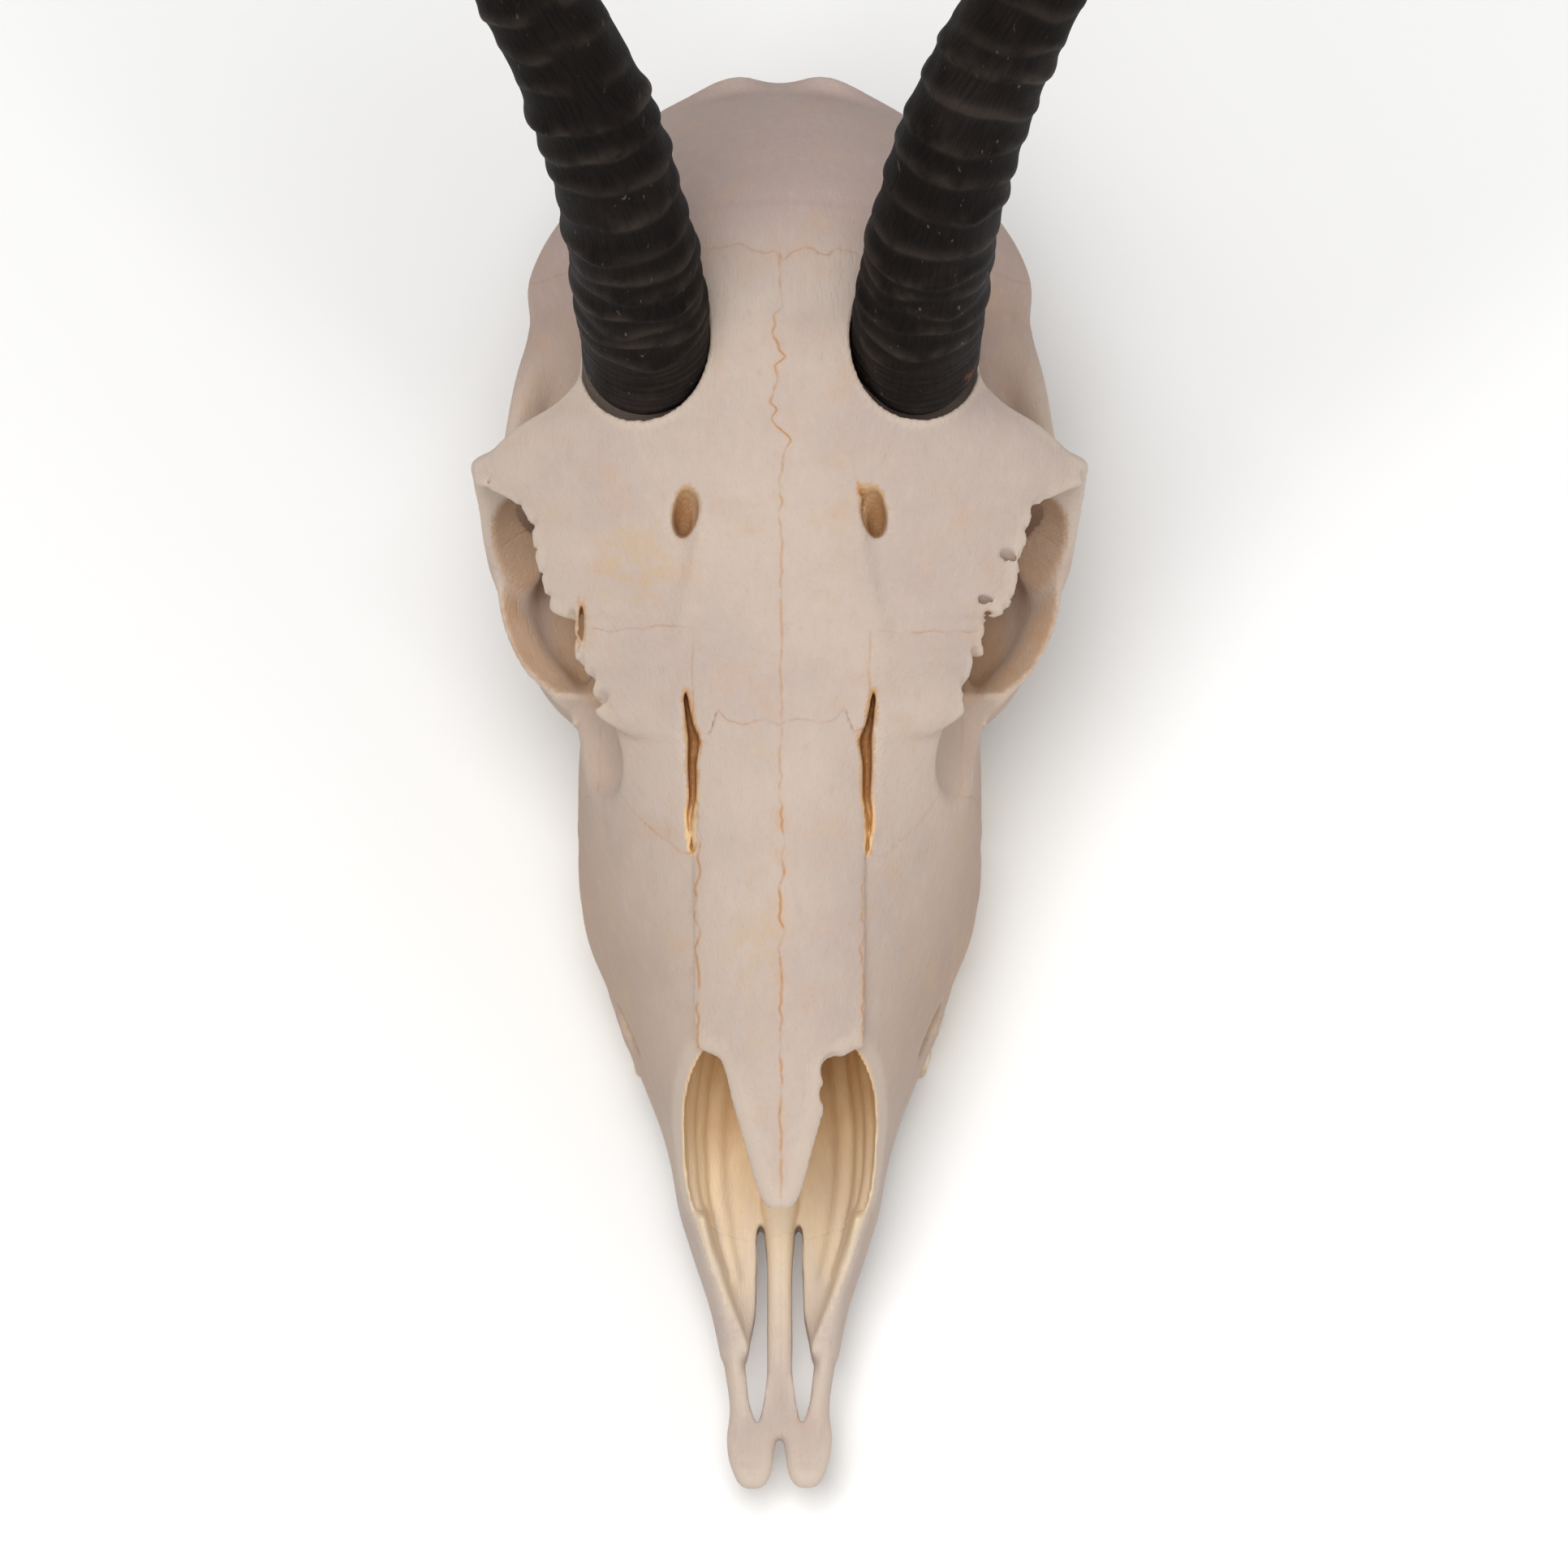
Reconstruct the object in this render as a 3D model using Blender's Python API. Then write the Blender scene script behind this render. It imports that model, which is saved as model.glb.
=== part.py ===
"""A springbok skull with its horn sheaths and no lower jaw, at life size.

The skull lies as it would rest on a table: on the grinding faces of its cheek teeth and on the tips
of the two processes beside the neck joint. The nose points along -Y, and the animal's left is +X.
Sizes are in millimetres: x to the animal's left, u rearward from the tip of the nose, z up.
"""
import math

import bmesh
import bpy
from mathutils import Matrix, Vector

MM = 0.001
GAP = 0.3                  # between bones that touch, and round each horn

# Driving sizes of the skull
FACE_TILT = 20.0           # degrees that the forehead and nose slope down to the front
NASAL_HALF_WIDTH = 14.1
BRAINCASE_HALF_WIDTH = 32.0
ORBIT_CENTRE = (41.0, 141.5, 67.0)
ORBIT_RADIUS = 19.5
PALATE_Z = 13.0            # the edge of the upper jaw that the teeth grow from
TOOTH_ROW_FRONT = 77.0
TOOTH_LENGTHS = (7.0, 8.0, 8.5, 11.5, 12.5, 13.0)
TOOTH_GAP = 0.5
TOOTH_HALF_WIDTHS = (3.6, 4.2, 4.8, 5.8, 6.2, 5.8)
HORN_BASE = (22.8, 175.8, 97.5)
HORN_LENGTH = 250.0
HORN_SINK = 4.0            # how deep the rim of each sheath sits in the bone
SEAT_REACH = 60.0          # how far up the horn the bone keeps clear of it
RIDGE_COUNT = 18
RIDGE_REACH = 150.0        # how far up each horn its rings go
RIDGE_HEIGHT = 0.7

# How fine the solid bones are
VOXEL = 1.15
SMOOTH_STEPS = 2
BONE_TRIANGLES = 6200
HORN_SIDES = 14

BONE_COLOUR = (0.70, 0.58, 0.48)
BONE_ROUGHNESS = 0.62
HORN_COLOUR = (0.012, 0.009, 0.008)
HORN_ROUGHNESS = 0.45

tilt = math.radians(FACE_TILT)

# The cut between the forehead and the braincase, seen from the side
CORONAL_CUT = [(147.0, 36.5), (151.0, 42.0), (187.0, 84.0), (190.8, 96.0), (189.2, 126.0)]


def smooth_row(rows, t):
    """Read a table of stations at t, its first column, on a curve that never overshoots."""
    last = len(rows) - 2
    i = min(max(sum(1 for row in rows if row[0] <= t) - 1, 0), last)
    span = rows[i + 1][0] - rows[i][0]
    f = min(max((t - rows[i][0]) / span, 0.0), 1.0)

    def rise(k, column):
        return (rows[k + 1][column] - rows[k][column]) / (rows[k + 1][0] - rows[k][0])

    def slope(k, column):
        if k == 0 or k > last:
            return rise(min(k, last), column)
        before, after = rise(k - 1, column), rise(k, column)
        if before * after <= 0.0:
            return 0.0
        return 2.0 * before * after / (before + after)

    values = []
    for column in range(len(rows[0])):
        start, end = rows[i][column], rows[i + 1][column]
        m0, m1 = slope(i, column) * span, slope(i + 1, column) * span
        values.append((2 * f ** 3 - 3 * f ** 2 + 1) * start + (f ** 3 - 2 * f ** 2 + f) * m0
                      + (3 * f ** 2 - 2 * f ** 3) * end + (f ** 3 - f ** 2) * m1)
    return values


def from_face(x, s, h):
    """Turn a place on the face, s rearward along it and h out of it, into x, u and z."""
    return x, s * math.cos(tilt) - h * math.sin(tilt), s * math.sin(tilt) + h * math.cos(tilt)


def mesh_object(name, bm):
    """Close a bmesh into an object of the scene, with its faces pointing out."""
    bmesh.ops.recalc_face_normals(bm, faces=bm.faces)
    mesh = bpy.data.meshes.new(name)
    bm.to_mesh(mesh)
    bm.free()
    piece = bpy.data.objects.new(name, mesh)
    bpy.context.scene.collection.objects.link(piece)
    return piece


def skin_rings(name, rings):
    """Close a run of rings, each a list of points in millimetres, into one body."""
    bm = bmesh.new()
    loops = [[bm.verts.new(Vector(point) * MM) for point in ring] for ring in rings]
    for near, far in zip(loops, loops[1:]):
        for k in range(len(near)):
            following = (k + 1) % len(near)
            bm.faces.new((near[k], near[following], far[following], far[k]))
    bm.faces.new(loops[0])
    bm.faces.new(loops[-1])
    bmesh.ops.triangulate(bm, faces=[face for face in bm.faces if len(face.verts) > 4])
    return mesh_object(name, bm)


def lofted(name, rows, sides=28, step=3.0, face=False):
    """A form lofted along the skull.

    Each row is: place along, x and z of the middle, half width, height above and below the middle,
    roundness above and below (2 is an ellipse, more is boxier), and droop of the outer edges.
    """
    count = max(2, math.ceil((rows[-1][0] - rows[0][0]) / step))
    rings = []
    for i in range(count + 1):
        along = rows[0][0] + (rows[-1][0] - rows[0][0]) * i / count
        _, x_mid, z_mid, wide, above, below, round_above, round_below, droop = smooth_row(rows, along)
        ring = []
        for k in range(sides):
            angle = math.tau * (k + 0.5) / sides
            c, s = math.cos(angle), math.sin(angle)
            power = round_above if s > 0 else round_below
            height = above if s > 0 else below
            x = wide * math.copysign(abs(c) ** (2.0 / power), c)
            z = height * math.copysign(abs(s) ** (2.0 / power), s) - droop * (x / wide) ** 2
            point = (x_mid + x, along, z_mid + z)
            ring.append(from_face(*point) if face else point)
        rings.append(ring)
    return skin_rings(name, rings)


def swept(name, rows, sides=12, step=3.0, rise=(0.0, 0.0, 1.0)):
    """A limb swept along a curve, from rows of x, u, z and its half thickness across and along rise."""
    lengths = [0.0]
    for a, b in zip(rows, rows[1:]):
        lengths.append(lengths[-1] + math.dist(a[:3], b[:3]))
    track = [(length, *row) for length, row in zip(lengths, rows)]
    count = max(2, math.ceil(lengths[-1] / step))
    rings = []
    for i in range(count + 1):
        t = lengths[-1] * i / count
        _, x, u, z, across, along_rise = smooth_row(track, t)
        ahead = Vector(smooth_row(track, t + 0.5)[1:4])
        behind = Vector(smooth_row(track, t - 0.5)[1:4])
        forward = (ahead - behind).normalized()
        side = forward.cross(Vector(rise)).normalized()
        up = side.cross(forward)
        ring = []
        for k in range(sides):
            angle = math.tau * k / sides
            ring.append(Vector((x, u, z)) + side * across * math.cos(angle) + up * along_rise * math.sin(angle))
        rings.append(ring)
    return skin_rings(name, rings)


def ovoid(name, centre, radii, turn=(0.0, 0.0, 0.0), sides=20):
    """An egg-shaped form, turned by degrees about x, y and z."""
    bm = bmesh.new()
    bmesh.ops.create_uvsphere(bm, u_segments=sides, v_segments=sides // 2, radius=1.0)
    angles = [math.radians(angle) for angle in turn]
    spin = Matrix.Rotation(angles[2], 4, "Z") @ Matrix.Rotation(angles[1], 4, "Y") @ Matrix.Rotation(angles[0], 4, "X")
    place = Matrix.Translation(Vector(centre) * MM) @ spin @ Matrix.Diagonal((*(Vector(radii) * MM), 1.0))
    bmesh.ops.transform(bm, matrix=place, verts=bm.verts)
    return mesh_object(name, bm)


def mirrored(piece):
    """The same form on the other side of the skull."""
    bm = bmesh.new()
    bm.from_mesh(piece.data)
    bmesh.ops.scale(bm, vec=(-1.0, 1.0, 1.0), verts=bm.verts)
    return mesh_object(piece.name + "_right", bm)


def both(*pieces):
    """Each form with its copy on the other side."""
    return [copy for piece in pieces for copy in (piece, mirrored(piece))]


def applied(piece):
    """Turn a piece's modifiers into its mesh."""
    shaped = piece.evaluated_get(bpy.context.evaluated_depsgraph_get())
    mesh = bpy.data.meshes.new_from_object(shaped)
    old = piece.data
    piece.modifiers.clear()
    piece.data = mesh
    bpy.data.meshes.remove(old)
    return piece


def combine(piece, others, operation, solver="EXACT"):
    """Join, cut or cross a piece with other closed bodies in one Boolean, and remove them."""
    group = bpy.data.collections.new("joined")
    bpy.context.scene.collection.children.link(group)
    for other in others:
        group.objects.link(other)
    boolean = piece.modifiers.new(operation.lower(), "BOOLEAN")
    boolean.operation = operation
    boolean.operand_type = "COLLECTION"
    boolean.collection = group
    boolean.solver = solver
    applied(piece)
    for other in others:
        bpy.data.objects.remove(other)
    bpy.data.collections.remove(group)
    return piece


def keep_largest(piece):
    """Drop every loose scrap of a mesh and keep its largest closed surface."""
    bm = bmesh.new()
    bm.from_mesh(piece.data)
    left = set(bm.faces)
    shells = []
    while left:
        start = left.pop()
        shell = {start}
        front = [start]
        while front:
            face = front.pop()
            for edge in face.edges:
                for neighbour in edge.link_faces:
                    if neighbour in left:
                        left.remove(neighbour)
                        shell.add(neighbour)
                        front.append(neighbour)
        shells.append(shell)
    largest = max(shells, key=lambda shell: sum(face.calc_area() for face in shell))
    scraps = [face for shell in shells if shell is not largest for face in shell]
    bmesh.ops.delete(bm, geom=scraps, context="FACES")
    bm.to_mesh(piece.data)
    bm.free()
    return piece


def muzzle():
    """The two upper jaws and the front of the face as one full form, before it is hollowed."""
    return lofted("muzzle", [
        (22.0, 0, 13.0, 9.6, 3.6, 3.4, 2.2, 2.4, 0),
        (30.0, 0, 13.6, 11.3, 6.5, 4.2, 2.2, 2.6, 0),
        (36.0, 0, 14.6, 13.2, 10.0, 5.2, 2.2, 2.8, 0),
        (42.0, 0, 16.0, 15.2, 16.0, 6.4, 2.2, 3.0, 0),
        (48.0, 0, 17.2, 17.0, 24.0, 7.4, 2.2, 3.2, 0),
        (54.0, 0, 18.2, 18.0, 30.5, 8.2, 2.2, 3.5, 0),
        (60.0, 0, 19.0, 19.4, 34.5, 8.8, 2.2, 4.0, 0),
        (70.0, 0, 20.5, 23.2, 37.5, 8.5, 2.1, 4.5, 0),
        (80.0, 0, 22.0, 27.2, 40.0, 9.2, 2.0, 5.0, 0),
        (90.0, 0, 23.0, 30.3, 42.8, 10.0, 2.0, 5.0, 0),
        (100.0, 0, 24.0, 33.0, 45.8, 11.0, 2.0, 5.0, 0),
        (107.0, 0, 25.0, 34.3, 47.4, 12.0, 2.1, 5.0, 0),
        (114.0, 0, 27.0, 34.5, 48.3, 14.0, 2.3, 5.0, 0),
        (122.0, 0, 31.0, 34.4, 47.0, 17.5, 2.6, 4.5, 0),
        (130.0, 0, 37.0, 33.0, 44.5, 22.0, 2.8, 4.0, 0),
        (138.0, 0, 46.0, 30.0, 39.0, 27.0, 2.8, 3.0, 0),
        (148.0, 0, 54.0, 24.0, 35.0, 24.0, 2.6, 2.4, 0),
    ])


def forehead():
    """The bone between the eyes and under the horns."""
    return lofted("forehead", [
        (134.0, 0, 62.0, 22.0, 20.0, 20.0, 2.4, 2.4, 0),
        (150.0, 0, 68.0, 21.5, 24.0, 28.0, 2.6, 2.4, 0),
        (164.0, 0, 72.0, 25.0, 27.0, 32.0, 2.8, 2.4, 0),
        (178.0, 0, 74.0, 29.5, 29.6, 34.0, 2.4, 2.2, 0),
        (196.0, 0, 73.0, 30.0, 29.0, 33.0, 2.2, 2.2, 0),
    ])


def braincase():
    """The rounded rear of the skull."""
    wide = BRAINCASE_HALF_WIDTH
    return lofted("braincase", [
        (164.0, 0, 70.0, wide - 9.0, 24.0, 26.0, 2.2, 2.2, 0),
        (176.0, 0, 71.0, wide - 3.0, 31.5, 32.0, 2.2, 2.2, 0),
        (188.0, 0, 71.0, wide - 0.5, 33.8, 36.0, 2.2, 2.2, 0),
        (200.0, 0, 69.0, wide, 34.4, 38.0, 2.2, 2.2, 0),
        (210.0, 0, 65.0, wide, 33.0, 38.0, 2.2, 2.2, 0),
        (219.0, 0, 60.0, wide - 1.0, 30.5, 34.0, 2.1, 2.3, 0),
        (227.0, 0, 56.0, wide - 5.0, 25.5, 30.0, 2.0, 2.3, 0),
        (233.0, 0, 53.0, wide - 12.5, 19.0, 23.5, 1.9, 2.2, 0),
        (236.5, 0, 51.6, wide - 19.0, 13.0, 16.5, 1.9, 2.2, 0),
        (238.0, 0, 51.0, wide - 24.5, 8.0, 11.0, 1.9, 2.2, 0),
    ])


def brow():
    """The roof plate over the eyes, out to the corner behind each orbit, lofted along the face."""
    return lofted("brow", [
        (132.0, 0, 27.6, 26.0, 2.6, 5.0, 2.2, 2.4, 5.6),
        (136.5, 0, 28.0, 31.2, 2.6, 4.6, 2.3, 2.4, 7.0),
        (145.0, 0, 29.2, 33.6, 2.8, 4.6, 2.3, 2.4, 7.2),
        (151.0, 0, 30.0, 35.8, 3.0, 4.4, 2.3, 2.4, 7.4),
        (158.4, 0, 31.0, 40.0, 3.1, 4.0, 2.3, 2.4, 8.2),
        (167.0, 0, 32.2, 42.0, 3.2, 3.8, 2.3, 2.4, 9.0),
        (171.0, 0, 32.8, 44.0, 3.2, 3.8, 2.3, 2.4, 10.4),
        (173.6, 0, 33.2, 48.6, 3.2, 3.8, 2.3, 2.4, 12.8),
        (175.4, 0, 33.5, 51.6, 3.2, 3.8, 2.3, 2.4, 14.4),
        (180.5, 0, 34.2, 48.6, 3.2, 4.0, 2.3, 2.4, 13.5),
        (184.4, 0, 34.6, 44.2, 3.1, 4.2, 2.3, 2.4, 12.3),
        (189.0, 0, 34.8, 37.0, 3.0, 4.4, 2.2, 2.4, 10.6),
        (196.0, 0, 34.6, 31.0, 2.6, 5.0, 2.2, 2.4, 9.0),
        (204.0, 0, 33.0, 25.0, 2.0, 5.0, 2.2, 2.4, 8.0),
    ], step=1.8, face=True)


def cheek_arch():
    """The cheekbone under the orbit and the arch back to the ear."""
    arch = swept("arch", [
        (22.6, 104.0, 35.0, 4.0, 9.0),
        (23.6, 113.0, 39.0, 4.6, 11.0),
        (25.6, 121.0, 41.6, 3.9, 11.6),
        (29.8, 127.5, 42.8, 3.3, 11.6),
        (34.9, 132.5, 43.4, 2.9, 11.2),
        (39.2, 137.5, 44.0, 2.6, 10.6),
        (42.4, 145.0, 45.0, 2.3, 9.6),
        (44.0, 154.0, 46.4, 2.2, 8.4),
        (45.0, 164.0, 47.4, 2.1, 6.2),
        (44.2, 175.0, 47.4, 2.3, 5.2),
        (42.4, 185.0, 47.0, 3.2, 4.8),
        (39.4, 194.0, 46.2, 4.2, 4.8),
        (33.0, 200.0, 46.0, 5.0, 5.6),
    ], sides=16, rise=(0.62, 0.0, 1.0))
    bar = swept("bar", [
        (46.6, 161.0, 79.0, 5.6, 2.1),
        (46.2, 159.6, 72.0, 5.8, 2.1),
        (46.0, 157.2, 64.0, 5.2, 2.2),
        (46.0, 153.6, 55.0, 4.0, 3.0),
        (45.2, 150.0, 47.0, 2.8, 4.2),
    ], rise=(0.0, 1.0, 0.0))
    return both(arch, bar)


def ear_region():
    """The root of the cheek arch, the jaw joint's shelf, the swelling behind the ear and its tube."""
    shelf = lofted("shelf", [
        (180.0, 34.0, 43.5, 8.0, 4.0, 3.4, 2.2, 2.2, 0),
        (188.0, 34.0, 44.0, 10.0, 6.0, 3.8, 2.2, 2.2, 0),
        (195.0, 33.0, 44.4, 9.5, 8.0, 4.4, 2.2, 2.2, 0),
        (202.0, 31.0, 44.4, 9.0, 9.0, 7.0, 2.2, 2.2, 0),
    ])
    mastoid = lofted("mastoid", [
        (198.0, 28.0, 44.0, 9.0, 10.0, 9.0, 2.2, 2.2, 0),
        (206.0, 30.0, 45.0, 10.8, 14.0, 11.0, 2.2, 2.2, 0),
        (213.0, 27.0, 46.0, 12.0, 18.0, 13.0, 2.2, 2.2, 0),
        (220.0, 22.0, 48.0, 12.5, 19.0, 15.0, 2.2, 2.2, 0),
        (226.5, 15.0, 49.0, 12.4, 17.4, 14.2, 2.2, 2.2, 0),
        (228.5, 13.0, 49.0, 9.5, 13.5, 11.0, 2.2, 2.2, 0),
    ])
    bulla = ovoid("bulla", (17.4, 201.0, 27.4), (6.4, 11.5, 10.0), (-10.0, 10.0, 10.0))
    tube = swept("ear_tube", [
        (22.0, 202.0, 36.0, 4.2, 4.2),
        (29.0, 204.5, 42.5, 3.8, 4.2),
        (36.8, 206.0, 47.0, 3.3, 3.8),
    ])
    return both(shelf, mastoid, bulla, tube)


def neck_joint():
    """The two condyles beside the hole for the spinal cord, and the processes outside them."""
    condyle = ovoid("condyle", (12.8, 227.0, 30.0), (6.4, 8.8, 10.6), (-14.0, 22.0, 14.0))
    lower_lobe = ovoid("condyle_lobe", (7.6, 221.5, 21.5), (5.4, 8.0, 4.6), (-8.0, 8.0, 8.0))
    process = swept("process", [
        (27.6, 217.0, 48.0, 7.0, 7.0),
        (27.0, 217.0, 37.0, 5.6, 6.4),
        (26.3, 216.0, 26.0, 4.0, 5.4),
        (25.4, 214.0, 13.5, 2.9, 4.2),
        (24.8, 212.4, 5.5, 2.5, 3.3),
        (24.5, 211.7, -2.0, 2.4, 3.0),
    ], rise=(0.0, 1.0, 0.0))
    return both(condyle, lower_lobe, process)


def skull_base():
    """The narrow floor of the braincase and the plates behind the palate."""
    floor = lofted("floor", [
        (140.0, 0, 40.0, 7.0, 18.0, 10.0, 2.2, 2.2, 0),
        (156.0, 0, 42.0, 8.0, 18.0, 13.0, 2.2, 2.4, 0),
        (172.0, 0, 42.0, 9.0, 20.0, 16.0, 2.2, 2.4, 0),
        (188.0, 0, 42.0, 12.0, 20.0, 18.0, 2.2, 2.4, 0),
        (204.0, 0, 42.0, 13.0, 20.0, 21.0, 2.2, 2.6, 0),
        (224.0, 0, 42.0, 12.0, 20.0, 22.0, 2.2, 2.6, 0),
    ])
    plate = lofted("pterygoid", [
        (126.0, 14.5, 30.0, 3.2, 18.0, 15.0, 2.6, 2.6, 0),
        (136.0, 13.0, 30.0, 2.3, 18.0, 13.0, 2.6, 2.6, 0),
        (150.0, 11.0, 30.0, 1.8, 16.0, 12.5, 2.6, 2.6, 0),
        (162.0, 9.8, 31.0, 1.7, 14.0, 11.5, 2.6, 2.6, 0),
        (171.0, 9.2, 35.0, 1.7, 10.0, 8.0, 2.6, 2.6, 0),
    ])
    return [floor, *both(plate)]


def crest():
    """The ridge round the back of the head."""
    ridge = swept("crest", [
        (-4.0, 232.3, 73.4, 1.8, 1.8),
        (8.0, 232.6, 73.2, 1.8, 1.8),
        (17.0, 229.6, 70.0, 1.8, 1.8),
        (26.0, 223.6, 62.5, 2.0, 2.0),
        (33.0, 216.6, 54.0, 2.4, 2.6),
        (38.4, 210.4, 49.0, 2.9, 2.9),
        (40.2, 205.0, 47.4, 3.1, 3.0),
        (39.8, 199.0, 46.6, 3.0, 3.0),
    ])
    return both(ridge)


def nose_roof():
    """The two nasal bones, still in one form: a roof that narrows to a blade past the cheeks."""
    return lofted("nose_roof", [
        (51.8, 0, 28.6, 1.8, 1.4, 1.4, 2.2, 2.2, 0.1),
        (54.0, 0, 28.6, 3.4, 1.5, 1.5, 2.2, 2.2, 0.2),
        (60.0, 0, 28.9, 5.2, 1.6, 1.6, 2.2, 2.4, 0.5),
        (70.0, 0, 29.3, 7.8, 1.7, 1.7, 2.2, 2.4, 1.0),
        (77.0, 0, 29.6, 9.6, 1.8, 1.8, 2.2, 2.4, 1.6),
        (80.5, 0, 29.8, 14.0, 1.8, 1.8, 2.4, 2.6, 3.4),
        (100.0, 0, 30.2, 14.2, 1.8, 2.2, 2.4, 2.6, 3.2),
        (120.0, 0, 30.4, 14.2, 1.8, 2.2, 2.4, 2.6, 3.0),
        (140.0, 0, 30.2, 14.2, 1.8, 2.2, 2.4, 2.6, 3.0),
    ], step=1.6, face=True)


def snout():
    """The two premaxillae: flat tips, side bars and the paired rod between the slots."""
    tip = lofted("tip", [
        (0.0, 5.2, 11.4, 1.9, 1.2, 1.2, 2.2, 2.2, 0),
        (1.5, 5.1, 11.5, 3.1, 1.7, 1.7, 2.4, 2.4, 0),
        (5.0, 4.9, 11.9, 3.9, 2.1, 2.1, 2.6, 2.4, 0),
        (9.0, 4.4, 12.1, 4.2, 2.2, 2.2, 2.6, 2.4, 0),
        (14.0, 3.9, 12.3, 3.9, 2.2, 2.2, 2.6, 2.4, 0),
        (19.0, 3.7, 12.4, 3.7, 2.1, 2.2, 2.6, 2.4, 0),
    ], sides=14, step=2.0)
    bar = swept("side_bar", [
        (6.2, 12.0, 12.2, 2.0, 2.2),
        (7.0, 18.0, 12.4, 1.7, 2.6),
        (8.0, 25.0, 13.2, 1.9, 3.4),
        (9.6, 32.0, 14.4, 1.9, 4.8),
        (12.0, 39.0, 16.0, 1.9, 7.0),
        (14.0, 46.0, 19.0, 1.9, 9.0),
    ])
    rod = lofted("rod", [
        (8.0, 0, 12.0, 2.6, 1.9, 1.9, 2.4, 2.4, 0),
        (24.0, 0, 12.6, 2.1, 2.0, 1.9, 2.4, 2.4, 0),
        (36.0, 0, 13.4, 2.0, 2.4, 2.0, 2.4, 2.4, 0),
        (44.0, 0, 14.6, 2.3, 3.0, 2.2, 2.4, 2.4, 0),
        (49.0, 0, 16.4, 2.9, 3.6, 3.0, 2.4, 2.4, 0),
        (60.0, 0, 18.0, 2.2, 4.4, 4.0, 2.4, 2.4, 0),
    ], sides=12)
    return [*both(tip, bar), rod]


def nose_opening():
    """What is cut away above the sloping rim of the nose, and the passage behind it."""
    rim = [(8.0, 16.0), (16.0, 17.0), (24.0, 19.0), (32.0, 23.5), (40.0, 31.0), (47.0, 40.0), (53.0, 47.5),
           (58.0, 52.0), (61.0, 56.0)]
    incision = lofted("incision", [(u, 0, z + 30.0, 30.0, 30.0, 30.0, 9.0, 9.0, 0) for u, z in rim])
    passage = lofted("nose_passage", [
        (20.0, 0, 20.0, 4.6, 12.0, 8.0, 2.6, 2.4, 0),
        (27.0, 0, 22.0, 7.0, 14.0, 9.0, 2.6, 2.4, 0),
        (34.0, 0, 24.0, 9.8, 16.0, 10.0, 2.6, 2.4, 0),
        (42.0, 0, 27.0, 12.6, 22.0, 12.0, 2.8, 2.6, 0),
        (50.0, 0, 30.0, 14.6, 27.0, 14.0, 2.8, 2.6, 0),
        (58.0, 0, 32.0, 14.8, 23.0, 15.0, 2.8, 2.6, 0),
        (66.0, 0, 34.0, 14.0, 19.0, 16.0, 2.6, 2.6, 0),
        (76.0, 0, 36.0, 11.5, 18.0, 17.0, 2.4, 2.4, 0),
        (86.0, 0, 38.0, 7.5, 13.0, 13.0, 2.2, 2.2, 0),
    ])
    return [incision, passage]


def base_hollows():
    """The vault of the palate, the passage behind it and the hole for the spinal cord."""
    vault = lofted("vault", [
        (44.0, 0, 9.0, 8.0, 2.0, 12.0, 2.0, 2.0, 0),
        (62.0, 0, 9.0, 11.0, 5.0, 12.0, 2.0, 2.0, 0),
        (80.0, 0, 9.0, 15.0, 7.6, 12.0, 2.2, 2.0, 0),
        (104.0, 0, 9.0, 18.0, 10.0, 12.0, 2.4, 2.0, 0),
        (126.0, 0, 9.0, 18.5, 11.0, 12.0, 2.4, 2.0, 0),
        (142.0, 0, 9.0, 18.5, 11.0, 12.0, 2.4, 2.0, 0),
    ])
    throat = lofted("throat", [
        (129.0, 0, 26.0, 5.0, 7.0, 14.0, 2.2, 2.4, 0),
        (134.0, 0, 26.0, 8.6, 10.0, 18.0, 2.2, 2.4, 0),
        (150.0, 0, 24.0, 8.2, 9.0, 18.0, 2.2, 2.4, 0),
        (172.0, 0, 20.0, 7.0, 6.0, 16.0, 2.2, 2.4, 0),
    ])
    spinal = lofted("spinal", [
        (203.0, 0, 35.0, 4.0, 4.0, 4.0, 2.0, 2.0, 0),
        (207.0, 0, 35.6, 8.0, 8.0, 7.6, 2.0, 2.0, 0),
        (229.0, 0, 34.0, 9.2, 8.8, 8.4, 2.0, 2.0, 0),
        (246.0, 0, 32.0, 10.2, 10.4, 9.0, 2.0, 2.0, 0),
    ])
    notch = ovoid("notch", (0.0, 231.0, 19.0), (2.6, 9.0, 6.0))
    return [vault, throat, spinal, notch]


def eye_sockets():
    """The two orbits, open to the side and up, and narrower inside."""
    x, u, z = ORBIT_CENTRE
    socket = ovoid("socket", (x - 5.0, u, z), (19.0, ORBIT_RADIUS, ORBIT_RADIUS - 1.5), (0.0, -10.0, -14.0), 28)
    depth = ovoid("socket_depth", (x - 17.0, u + 6.0, z - 5.0), (13.5, 15.0, 13.0))
    return both(socket, depth)


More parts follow.
